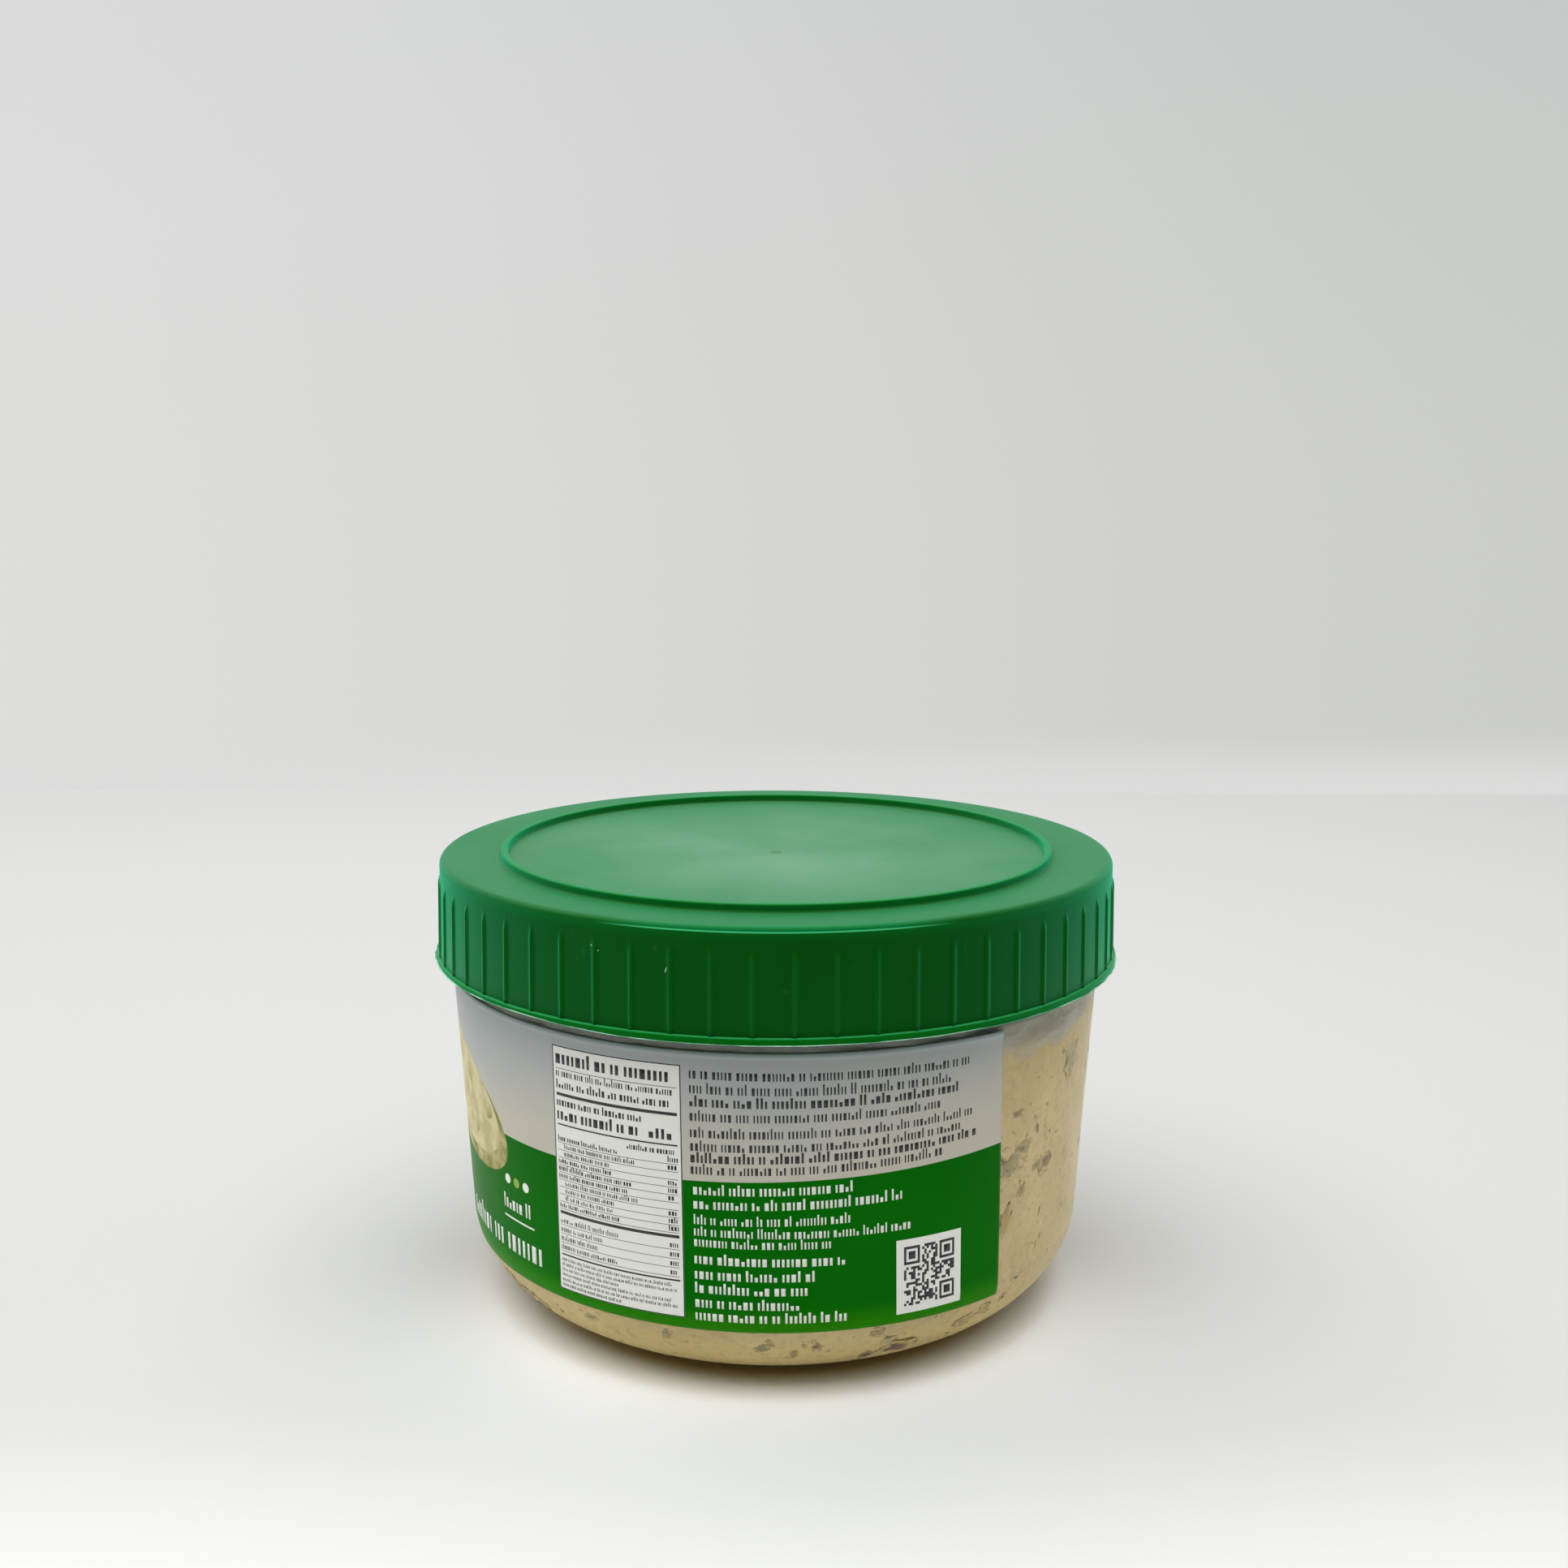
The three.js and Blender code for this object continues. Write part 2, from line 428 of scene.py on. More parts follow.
@dataclass(frozen=True)
class CapPlastic:
    """Satin moulded green plastic: a disc clouded with dust and a painted sheen, a cleaner rim and a deep
    skirt, with painted light: a lighter ring, rib crests, bead and upper skirt, a corner lighter at the
    front, a painted whitish reflection on the top face, and painted highlight lines on the corner and the
    bead.
    """

    name: str = "green_cap_plastic"
    deep: Colour = (0.004, 0.068, 0.001)
    pale: Colour = (0.004, 0.078, 0.002)
    # The top face's green, with red and blue added as a painted whitish reflection.
    top: Colour = (0.016, 0.079, 0.012)
    # A lighter green: a painted highlight on the ring and a painted reflection along the top of the skirt.
    clear: Colour = (0.003, 0.116, 0.010)
    # Painted light: the corner's green at the front, lighter than the skirt's green that it has at the
    # sides.
    corner: Colour = (0.002, 0.120, 0.024)
    # Painted highlight: a light green line on the corner and on the bead's top.
    highlight_line: Colour = (0.065, 0.560, 0.215)
    # Painted light: the bead's lighter green, as its upward face is lit.
    thin: Colour = (0.003, 0.128, 0.004)
    # Painted highlight: the lighter green of the rib crests.
    crest: Colour = (0.004, 0.104, 0.004)
    # Pale colour of the dust, also used for a painted sheen on the disc.
    dust_and_sheen: Colour = (0.50, 0.58, 0.54)
    glint: Colour = (0.02, 1.0, 0.22)
    bloom: Colour = (0.00, 0.85, 0.42)
    ring_low: float = 42.55 * MM
    ring_high: float = 43.80 * MM
    disc_edge: float = 42.55 * MM
    top_reach: float = 51.95 * MM
    corner_foot: float = 69.42 * MM
    # Heights and half widths of the two painted highlight lines.
    highlight_level: float = 69.60 * MM
    highlight_half: float = 0.09 * MM
    bead_level: float = 55.42 * MM
    bead_highlight: float = 55.34 * MM
    bead_highlight_half: float = 0.05 * MM
    bead_highlight_share: float = 0.35
    corner_fade: float = 1.2 * MM
    edge_soft: float = 0.1 * MM
    # Span and strength of the front, where the corner and its highlight line are painted lighter.
    front_span: tuple[float, float] = (-0.97, -0.88)
    front_share: float = 0.95
    flow_scale: float = 28.0
    grain_scale: float = 1400.0
    scuff_scale: float = 160.0
    scuff_dust: float = 0.03
    scuff_rough: float = 0.10
    film_scale: float = 24.0
    film_span: tuple[float, float] = (0.07, 0.19)
    # Where the painted sheen on the disc thickens towards the middle.
    sheen_middle: tuple[float, float] = (42.0 * MM, 8.0 * MM)
    side_rough: float = 0.32
    top_rough: float = 0.38
    rib_map: str = "rib"

    def side_colour(self, bench: NodeBench, place: Socket, reach: Socket, flow: Socket) -> Socket:
        """The colour of the skirt, its ribs, the bead and the corner over them, with painted light: lighter
        rib crests, bead and upper skirt, a corner lighter at the front, and painted highlight lines on the
        corner and the bead.

        Args:
            bench: the material being made.
            place: the object coordinates.
            reach: distance from the axis.
            flow: the uneven run of the plastic.

        Returns:
            The colour's socket.
        """
        parts = bench.add("SeparateXYZ", Vector=place)
        level = parts.outputs["Z"]
        half_soft = self.edge_soft / 2
        rib = bench.add("Attribute", {"attribute_name": self.rib_map}).outputs["Fac"]
        side = bench.mix(flow, self.deep, self.pale)
        # Painted highlight: rib crests lighter.
        side = bench.mix(bench.ramp(rib, 0.1, 0.9, 0.0, 0.8), side, self.crest)
        # Painted light: the bead lighter than the skirt.
        on_bead = bench.ramp(level, self.bead_level + half_soft, self.bead_level - half_soft)
        side = bench.mix(on_bead, side, self.thin)
        # Painted reflection: the skirt lighter towards the corner.
        fade_foot = self.corner_foot - self.corner_fade
        near_corner = bench.ramp(level, fade_foot, self.corner_foot + self.edge_soft, 0.0, 0.7)
        side = bench.mix(near_corner, side, self.clear)
        # Painted light: the corner lighter at the front than at the sides.
        facing = bench.math("DIVIDE", parts.outputs["Y"], reach)
        front = bench.ramp(facing, *self.front_span, self.front_share, 0.0)
        on_corner = bench.ramp(level, self.corner_foot, self.corner_foot + 2 * self.edge_soft)
        side = bench.mix(on_corner, side, bench.mix(front, self.deep, self.corner))
        # Painted highlight lines: along the corner, strongest at the front, and along the top of the bead.
        highlight_lines = (
            (self.highlight_level, self.highlight_half, front),
            (self.bead_highlight, self.bead_highlight_half, self.bead_highlight_share),
        )
        for height, half, share in highlight_lines:
            away = bench.math("ABSOLUTE", bench.math("SUBTRACT", level, height))
            highlight_line = bench.math("MULTIPLY", bench.ramp(away, half * 1.6, half * 0.4), share)
            side = bench.mix(highlight_line, side, self.highlight_line)
        return side

    def ringed(self, bench: NodeBench, reach: Socket) -> Socket:
        """1 on the raised ring and 0 off it.

        Args:
            bench: the material being made.
            reach: distance from the axis.

        Returns:
            The share's socket.
        """
        inner = bench.ramp(reach, self.ring_low - 0.08 * MM, self.ring_low + 0.08 * MM)
        outer = bench.ramp(reach, self.ring_high + 0.10 * MM, self.ring_high - 0.06 * MM)
        return bench.math("MULTIPLY", inner, outer)

    def dust_and_sheen_share(self, bench: NodeBench, flat: Socket, reach: Socket, disc: Socket, scuffs: Socket) -> Socket:
        """How much pale colour lies on the plastic: a clouded film on the disc, partly dust and partly a
        painted sheen that thickens towards the middle, and a little dust in each scuff.

        Args:
            bench: the material being made.
            flat: the object coordinates without their height.
            reach: distance from the axis.
            disc: 1 on the disc inside the ring.
            scuffs: 1 where the plastic is scuffed.

        Returns:
            The share's socket.
        """
        film = bench.ramp(bench.noise(flat, self.film_scale, 4.0, 0.6), 0.30, 0.70, *self.film_span)
        middle = bench.ramp(reach, *self.sheen_middle, 0.35, 1.0)
        dust_and_sheen = bench.math("MULTIPLY", disc, bench.math("MULTIPLY", film, middle))
        return bench.math("ADD", dust_and_sheen, bench.math("MULTIPLY", scuffs, self.scuff_dust))

    def build(self) -> bpy.types.Material:
        """Makes the material.

        Returns:
            The finished material.
        """
        bench = NodeBench(self.name)
        place = bench.place()
        flat = bench.add("Mapping", Vector=place, Scale=(1.0, 1.0, 0.0)).outputs["Vector"]
        reach = bench.add("VectorMath", {"operation": "LENGTH"}, Vector=flat).outputs["Value"]
        on_top = bench.ramp(reach, self.top_reach + 2 * self.edge_soft, self.top_reach)
        inside = bench.ramp(reach, self.disc_edge, self.disc_edge - 4 * self.edge_soft)
        disc = bench.math("MULTIPLY", on_top, inside)
        flow = bench.ramp(bench.noise(place, self.flow_scale, 3.0), 0.35, 0.65)
        grain = bench.noise(place, self.grain_scale, 2.0)
        streaks = bench.add("Mapping", Vector=place, Scale=(1.0, 7.0, 1.0)).outputs["Vector"]
        scuffs = bench.ramp(bench.noise(streaks, self.scuff_scale, 5.0, 0.7), 0.64, 0.76)
        side = self.side_colour(bench, place, reach, flow)
        # Painted highlight: the ring in a lighter green.
        top = bench.mix(self.ringed(bench, reach), self.top, self.clear)
        colour = bench.mix(on_top, side, top)
        rough = bench.ramp(on_top, 0.0, 1.0, self.side_rough, self.top_rough)
        rough = bench.math("ADD", rough, bench.ramp(flow, 0.0, 1.0, -0.02, 0.03))
        rough = bench.math("ADD", rough, bench.math("MULTIPLY", scuffs, self.scuff_rough))
        shader = bench.add(
            "BsdfPrincipled",
            Base_Color=bench.mix(self.dust_and_sheen_share(bench, flat, reach, disc, scuffs), colour, self.dust_and_sheen),
            Roughness=rough,
            IOR=1.49,
            Specular_IOR_Level=0.10,
            Specular_Tint=self.glint,
            Sheen_Weight=0.54,
            Sheen_Roughness=0.46,
            Sheen_Tint=self.bloom,
            Normal=bench.bump(grain, 0.02 * MM, 0.35),
        )
        return bench.finish(shader)


@dataclass(frozen=True)
class FlashPlastic:
    """The thin edge of plastic squeezed out along the cap's lower edge, with pale patches painted on as a
    highlight.
    """

    name: str = "green_flash_plastic"
    # Pale patches: a painted highlight along the edge.
    thin: Colour = (0.34, 0.70, 0.48)
    thick: Colour = (0.01, 0.26, 0.08)
    patch_scale: float = 160.0

    def build(self) -> bpy.types.Material:
        """Makes the material.

        Returns:
            The finished material.
        """
        bench = NodeBench(self.name)
        share = bench.ramp(bench.noise(bench.place(), self.patch_scale, 3.0), 0.40, 0.62)
        colour = bench.mix(share, self.thick, self.thin)
        return bench.finish(bench.add("BsdfPrincipled", Base_Color=colour, Roughness=0.3))


@dataclass(frozen=True)
class ClearPlastic:
    """Clear plastic: nearly unseen head on, milky at a slant, with a faint painted highlight line over the
    foot.
    """

    name: str = "clear_cup_plastic"
    milk: Colour = (0.56, 0.55, 0.52)
    roughness: float = 0.22
    head_on: float = 0.05
    aslant: float = 0.25
    # Height, width and break-up of the painted highlight line over the foot.
    highlight_height: float = 12.9 * MM
    highlight_width: float = 0.45 * MM
    highlight_scale: float = 110.0
    foot_span: tuple[float, float] = (4.0 * MM, 13.0 * MM)
    foot_share: float = 0.35
    foot_lift: float = 0.04
    cloud_scale: float = 60.0

    def build(self) -> bpy.types.Material:
        """Makes the material.

        Returns:
            The finished material.
        """
        bench = NodeBench(self.name)
        place = bench.place()
        cloud = bench.noise(place, self.cloud_scale, 3.0)
        film = bench.add("BsdfTransparent", Color=(0.985, 0.985, 0.975))
        skin = bench.add(
            "BsdfPrincipled",
            Base_Color=self.milk,
            Roughness=bench.ramp(cloud, 0.3, 0.7, self.roughness, self.roughness + 0.08),
            IOR=1.5,
            Specular_IOR_Level=0.12,
        )
        slant = bench.add("LayerWeight", Blend=0.5).outputs["Facing"]
        share = bench.ramp(slant, 0.55, 0.98, self.head_on, self.aslant)
        share = bench.math("ADD", share, bench.ramp(cloud, 0.3, 0.75, -0.01, 0.02))
        level = bench.add("SeparateXYZ", Vector=place).outputs["Z"]
        share = bench.math("MULTIPLY", share, bench.ramp(level, *self.foot_span, self.foot_share, 1.0))
        # Painted highlight: a broken milky line where the foot corner starts.
        away = bench.math("ABSOLUTE", bench.math("SUBTRACT", level, self.highlight_height))
        broken = bench.ramp(bench.noise(place, self.highlight_scale, 3.0), 0.36, 0.62, 0.04, 0.36)
        highlight_line = bench.math("MULTIPLY", bench.ramp(away, self.highlight_width, 0.0), broken)
        foot = bench.ramp(level, self.highlight_height, self.highlight_height - 1.5 * MM, 0.0, self.foot_lift)
        share = bench.math("ADD", share, bench.math("ADD", highlight_line, foot))
        mixed = bench.add("MixShader", Fac=share)
        bench.feed(mixed.inputs[1], film.outputs["BSDF"])
        bench.feed(mixed.inputs[2], skin.outputs["BSDF"])
        return bench.finish(mixed, "Shader")


@dataclass(frozen=True)
class SealFilmFinish:
    """Thin smoky film, smeared with paste at the halva's level, and grey with pale creases above it, with a
    darker band of painted shade under the cap.
    """

    name: str = "seal_film"
    pale: Colour = (0.470, 0.455, 0.385)
    smoke: Colour = (0.325, 0.302, 0.238)
    crease: Colour = (0.600, 0.600, 0.550)
    # Painted shade: the darker grey of the band under the cap.
    neck: Colour = (0.200, 0.212, 0.212)
    smear_low: float = 46.6 * MM
    smear_high: float = 49.8 * MM
    slope_span: tuple[float, float] = (36.0 * MM, 47.0 * MM)
    slope_rise: float = 1.0 * MM
    painted_shade_low: float = 52.2 * MM
    painted_shade_high: float = 53.0 * MM
    uneven: float = 1.7 * MM
    uneven_scale: float = 105.0
    fold_scale: float = 95.0
    crease_scale: float = 70.0

    def build(self) -> bpy.types.Material:
        """Makes the material.

        Returns:
            The finished material.
        """
        bench = NodeBench(self.name)
        place = bench.place()
        drawn = bench.add("Mapping", Vector=place, Scale=(1.0, 1.0, 2.4)).outputs["Vector"]
        folds = bench.noise(drawn, self.fold_scale, 3.0)
        crumb = bench.noise(place, PASTE_CRUMB_SCALE, 4.0, 0.6)
        parts = bench.add("SeparateXYZ", Vector=place)
        level = parts.outputs["Z"]
        wave = bench.noise(drawn, self.uneven_scale, 2.0, 0.5)
        uneven = bench.ramp(wave, 0.3, 0.7, -self.uneven, self.uneven)
        slope = bench.ramp(parts.outputs["X"], *self.slope_span, self.slope_rise, -self.slope_rise)
        smear = bench.math("ADD", bench.math("ADD", level, uneven), slope)
        smoky = bench.ramp(smear, self.smear_low, self.smear_high)
        grey = bench.mix(bench.ramp(folds, 0.36, 0.62), self.smoke, self.pale)
        pulled = bench.add("Mapping", Vector=place, Scale=(1.0, 1.0, 5.0)).outputs["Vector"]
        ridge = bench.math("SUBTRACT", bench.noise(pulled, self.crease_scale, 2.0), 0.5)
        ridge = bench.math("ABSOLUTE", ridge)
        grey = bench.mix(bench.ramp(ridge, 0.016, 0.0, 0.0, 0.55), grey, self.crease)
        colour = bench.mix(smoky, HalvaPaste().colour(bench, place), grey)
        # Painted shade: the band under the cap darker.
        colour = bench.mix(bench.ramp(level, self.painted_shade_low, self.painted_shade_high), colour, self.neck)
        rough_paste = bench.math("MULTIPLY", crumb, bench.ramp(smoky, 0.4, 0.0))
        shader = bench.add(
            "BsdfPrincipled",
            Base_Color=colour,
            Roughness=bench.ramp(smoky, 0.0, 1.0, 0.65, 0.42),
            Specular_IOR_Level=0.25,
            Normal=bench.bump(rough_paste, PASTE_RELIEF, PASTE_RELIEF_SHARE),
        )
        return bench.finish(shader)


@dataclass(frozen=True)
class HalvaPaste:
    """Cream sesame paste pressed smooth: faint mottling, a few brownish stains, fine specks and pores, and a
    warmer yellow low down that is painted light thrown up from the floor.
    """

    name: str = "halva_paste"
    cream: Colour = (0.690, 0.552, 0.300)
    dark: Colour = (0.600, 0.470, 0.242)
    # Painted light: a warm yellow low down, for light thrown up from the floor.
    painted_warm_bounce: Colour = (0.800, 0.590, 0.120)
    husk: Colour = (0.760, 0.630, 0.380)
    stain: Colour = (0.375, 0.290, 0.150)
    speck: Colour = (0.240, 0.150, 0.070)
    cloud_scale: float = 75.0
    crumb_scale: float = 900.0
    smear_scale: float = 170.0
    fleck_scale: float = 560.0
    pore_scale: float = 480.0
    painted_warm_bounce_span: tuple[float, float] = (13.0 * MM, 6.0 * MM)
    painted_warm_bounce_share: float = 0.34

    def colour(self, bench: NodeBench, place: Socket) -> Socket:
        """The mottled colour, without its pores.

        Args:
            bench: the material being made.
            place: the object coordinates.

        Returns:
            The colour's socket.
        """
        cloud = bench.noise(place, self.cloud_scale, 4.0)
        crumb = bench.noise(place, self.crumb_scale, 4.0, 0.65)
        mottled = bench.mix(bench.ramp(cloud, 0.32, 0.68), self.dark, self.cream)
        level = bench.add("SeparateXYZ", Vector=place).outputs["Z"]
        # Painted light: warmer and yellower towards the foot.
        mottled = bench.mix(bench.ramp(level, *self.painted_warm_bounce_span, 0.0, self.painted_warm_bounce_share), mottled, self.painted_warm_bounce)
        mottled = bench.mix(bench.ramp(crumb, 0.28, 0.52, 0.42, 0.0), mottled, self.stain)
        mottled = bench.mix(bench.ramp(crumb, 0.56, 0.74, 0.0, 0.40), mottled, self.husk)
        smear = bench.ramp(bench.noise(place, self.smear_scale, 3.0, 0.6), 0.57, 0.76, 0.0, 0.55)
        mottled = bench.mix(smear, mottled, self.stain)
        fleck = bench.ramp(bench.noise(place, self.fleck_scale, 3.0, 0.6), 0.62, 0.71, 0.0, 0.60)
        return bench.mix(fleck, mottled, self.speck)

    def build(self) -> bpy.types.Material:
        """Makes the material.

        Returns:
            The finished material.
        """
        bench = NodeBench(self.name)
        place = bench.place()
        cells = bench.add("TexVoronoi", {"feature": "F1"}, Vector=place, Scale=self.pore_scale)
        cells.inputs["Randomness"].default_value = 1.0
        dots = bench.ramp(cells.outputs["Distance"], 0.08, 0.20, 1.0, 0.0)
        sparse = bench.ramp(bench.noise(place, self.smear_scale, 2.0), 0.56, 0.66)
        pores = bench.math("MULTIPLY", dots, sparse)
        crumb = bench.noise(place, PASTE_CRUMB_SCALE, 4.0, 0.6)
        shader = bench.add(
            "BsdfPrincipled",
            Base_Color=bench.mix(bench.math("MULTIPLY", pores, 0.7), self.colour(bench, place), self.speck),
            Roughness=0.7,
            Subsurface_Weight=0.15,
            Subsurface_Scale=0.8 * MM,
            Normal=bench.bump(bench.math("SUBTRACT", crumb, pores), PASTE_RELIEF, PASTE_RELIEF_SHARE),
        )
        shader.inputs["Subsurface Radius"].default_value = (1.0, 0.7, 0.35)
        return bench.finish(shader)


@dataclass(frozen=True)
class NutFinish:
    """A mottled piece in the paste, smeared over towards its edge."""

    name: str
    light: Colour
    dark: Colour
    roughness: float = 0.65
    mottle_scale: float = 420.0
    edge_scale: float = 750.0
    core_map: str = "core"

    def build(self) -> bpy.types.Material:
        """Makes the material.

        Returns:
            The finished material.
        """
        bench = NodeBench(self.name)
        place = bench.place()
        share = bench.ramp(bench.noise(place, self.mottle_scale, 4.0), 0.38, 0.62)
        core = bench.add("Attribute", {"attribute_name": self.core_map}).outputs["Fac"]
        ragged = bench.ramp(bench.noise(place, self.edge_scale, 4.0, 0.6), 0.3, 0.7, -0.30, 0.30)
        bare = bench.ramp(bench.math("ADD", core, ragged), 0.06, 0.85, 0.0, 0.93)
        nut = bench.mix(share, self.dark, self.light)
        crumb = bench.noise(place, PASTE_CRUMB_SCALE, 4.0, 0.6)
        shader = bench.add(
            "BsdfPrincipled",
            Base_Color=bench.mix(bare, HalvaPaste().colour(bench, place), nut),
            Roughness=self.roughness,
            Normal=bench.bump(crumb, PASTE_RELIEF, PASTE_RELIEF_SHARE),
        )
        return bench.finish(shader)


class Nut(Enum):
    """The kinds of piece that show in the paste."""

    KERNEL = NutFinish("pistachio_kernel", (0.385, 0.340, 0.170), (0.245, 0.218, 0.105))
    SKIN = NutFinish("pistachio_skin", (0.330, 0.235, 0.125), (0.190, 0.130, 0.075))
    PLUM = NutFinish("pistachio_husk", (0.200, 0.105, 0.065), (0.070, 0.034, 0.026))
    SMEAR = NutFinish("nut_smear", (0.480, 0.415, 0.235), (0.380, 0.335, 0.200))
    CRUST = NutFinish("toasted_crumb", (0.480, 0.335, 0.130), (0.340, 0.240, 0.110))


@dataclass(frozen=True)
class LabelPaper:
    """Satin printed paper: a clouded grey field over a green one, with pale panels and plain ovals, and
    painted light: a lighter top edge against the shade under the cap and a lighter green at the foot for
    light from the floor.
    """

    name: str = "label_print"
    # Painted light: a lighter grey along the top edge, against the shade under the cap.
    sky_painted_lift: Colour = (0.540, 0.610, 0.660)
    sky_high: Colour = (0.425, 0.455, 0.480)
    sky_low: Colour = (0.565, 0.545, 0.485)
    field: Colour = (0.000, 0.152, 0.000)
    field_deep: Colour = (0.000, 0.134, 0.000)
    # Painted reflection: a lighter, yellower green towards the foot, for light from the floor.
    field_painted_bounce: Colour = (0.020, 0.225, 0.000)
    white: Colour = (0.86, 0.87, 0.86)
    cream: Colour = (0.66, 0.60, 0.36)
    toast: Colour = (0.50, 0.44, 0.22)
    olive: Colour = (0.22, 0.23, 0.05)
    lime: Colour = (0.30, 0.45, 0.10)
    cloud_scale: float = 38.0
    cloud_lift: float = 3.0 * MM
    crumb_scale: float = 300.0
    grain_scale: float = 2600.0
    line_soft: float = 0.04 * MM
    foot_span: tuple[float, float] = (15.5 * MM, 11.6 * MM)

    def inside_box(self, bench: NodeBench, flat: Socket, panel: "Panel") -> Socket:
        """1 inside an upright rectangle of the label and 0 outside.

        Args:
            bench: the material being made.
            flat: length and height on the label.
            panel: the rectangle.

        Returns:
            The value's socket.
        """
        shift = (-panel.middle[0], -panel.middle[1], 0.0)
        moved = bench.add("VectorMath", {"operation": "ADD"})
        bench.feed(moved.inputs[0], flat)
        bench.feed(moved.inputs[1], shift)
        parts = bench.add("SeparateXYZ", Vector=moved.outputs["Vector"])
        masks = []
        for axis, half in zip(("X", "Y"), panel.half):
            away = bench.math("ABSOLUTE", parts.outputs[axis])
            masks.append(bench.ramp(away, half + 0.03 * MM, half - 0.03 * MM))
        return bench.math("MULTIPLY", *masks)

    def inside_oval(self, bench: NodeBench, flat: Socket, oval: "Oval") -> Socket:
        """1 inside an oval of the label and 0 outside.

        Args:
            bench: the material being made.
            flat: length and height on the label.
            oval: the oval.

        Returns:
            The value's socket.
        """
        mapped = bench.add(
            "Mapping",
            {"vector_type": "TEXTURE"},
            Vector=flat,
            Location=(*oval.middle, 0.0),
            Rotation=(0.0, 0.0, math.radians(oval.tilt)),
            Scale=(*oval.half, 1.0),
        )
        reach = bench.add("VectorMath", {"operation": "LENGTH"}, Vector=mapped.outputs["Vector"])
        soft = 0.06 * MM / min(oval.half)
        return bench.ramp(reach.outputs["Value"], 1.0 + soft, 1.0 - soft)

    def build(self, sheet: "LabelSheet") -> bpy.types.Material:
        """Makes the material.

        Args:
            sheet: the label, whose own map gives the length along it and the height, in metres.

        Returns:
            The finished material.
        """
        bench = NodeBench(self.name)
        flat = bench.add("UVMap", {"uv_map": sheet.map_name}).outputs["UV"]
        parts = bench.add("SeparateXYZ", Vector=flat)
        length, height = parts.outputs["X"], parts.outputs["Y"]
        held = bench.math("MAXIMUM", length, sheet.rise_from)
        bend = bench.math("ADD", bench.math("MULTIPLY", held, sheet.rise_square), sheet.rise_slope)
        edge = bench.math("ADD", bench.math("MULTIPLY", bend, held), sheet.split)
        above = bench.math("SUBTRACT", height, edge)
        cloud = bench.noise(flat, self.cloud_scale, 3.0)
        lift = bench.math("ADD", above, bench.ramp(cloud, 0.3, 0.7, -self.cloud_lift, self.cloud_lift))
        sky = bench.mix(bench.ramp(lift, 1.0 * MM, 17.5 * MM), self.sky_low, self.sky_high)
        # Painted light: the top edge lighter, against the shade under the cap.
        sky = bench.mix(bench.ramp(height, sheet.high - 1.3 * MM, sheet.high - 0.1 * MM), sky, self.sky_painted_lift)
        field = bench.mix(bench.ramp(cloud, 0.3, 0.7), self.field_deep, self.field)
        # Painted reflection: the green lighter towards the foot.
        field = bench.mix(bench.ramp(height, *self.foot_span), field, self.field_painted_bounce)
        colour = bench.mix(bench.ramp(above, -self.line_soft, self.line_soft), field, sky)
        crumbs = bench.ramp(bench.noise(flat, self.crumb_scale, 4.0), 0.35, 0.65)
        inks = {
            OvalInk.CREAM: bench.mix(crumbs, self.toast, self.cream),
            OvalInk.OLIVE: bench.mix(crumbs, self.toast, self.olive),
            OvalInk.LIME: self.lime,
            OvalInk.WHITE: self.white,
        }
        for oval in sheet.ovals:
            colour = bench.mix(self.inside_oval(bench, flat, oval), colour, inks[oval.ink])
        for panel in sheet.panels:
            colour = bench.mix(self.inside_box(bench, flat, panel), colour, self.white)
        grain = bench.noise(bench.place(), self.grain_scale, 2.0)
        shader = bench.add(
            "BsdfPrincipled",
            Base_Color=colour,
            Roughness=bench.ramp(grain, 0.3, 0.7, 0.40, 0.48),
            IOR=1.46,
            Specular_IOR_Level=0.03,
            Sheen_Weight=0.05,
            Sheen_Roughness=0.35,
            Normal=bench.bump(grain, 0.008 * MM, 0.4),
        )
        return bench.finish(shader)


@dataclass(frozen=True)
class Ink:
    """A printed colour, with the faint unevenness of ink on paper."""

    name: str
    colour: Colour
    worn: Colour

    def build(self) -> bpy.types.Material:
        """Makes the material.

        Returns:
            The finished material.
        """
        bench = NodeBench(self.name)
        share = bench.ramp(bench.noise(bench.place(), 900.0, 3.0), 0.35, 0.65)
        colour = bench.mix(share, self.colour, self.worn)
        return bench.finish(bench.add("BsdfPrincipled", Base_Color=colour, Roughness=0.4))


class Inks(Enum):
    """The inks of the label's small marks."""

    WHITE = Ink("ink_white", (0.86, 0.87, 0.86), (0.78, 0.79, 0.78))
    DARK = Ink("ink_dark", (0.008, 0.010, 0.011), (0.020, 0.022, 0.024))


# ---- Cup ---------------------------------------------------------------------------------------


@dataclass
class Cup:
    """The clear cup: a deep round foot, a tapered wall and a plain neck inside the cap."""

    sizes: TubSizes
    wall_line: WallLine
    wall: float = 1.2 * MM
    rim_rounding: float = 0.5 * MM
    columns: int = 360

    def outline(self) -> Outline:
        """The cup's section, from the middle of the foot, up outside and down inside.

        Returns:
            Points of radius and height.
        """
        neck, shoulder, rim = self.sizes.neck, self.sizes.shoulder, self.sizes.rim
        inside = neck - self.wall
        lip = rounded(
            [
                (neck, shoulder, 0.0),
                (neck, rim, self.rim_rounding),
                (inside, rim, self.rim_rounding),
                (inside, shoulder, 0.0),
            ],
            4,
        )
        outer = self.wall_line.corner(0.0, 18)
        inner = self.wall_line.corner(self.wall, 16)
        return [(0.0, 0.0), *outer, *lip, *reversed(inner), (0.0, self.wall)]

    def build(self) -> bpy.types.Object:
        """Makes the cup."""
        bm = spin_outline(self.outline(), self.columns)
        return finish_piece("clear_cup", bm, ClearPlastic().build(), ["cup"])


# ---- Halva -------------------------------------------------------------------------------------


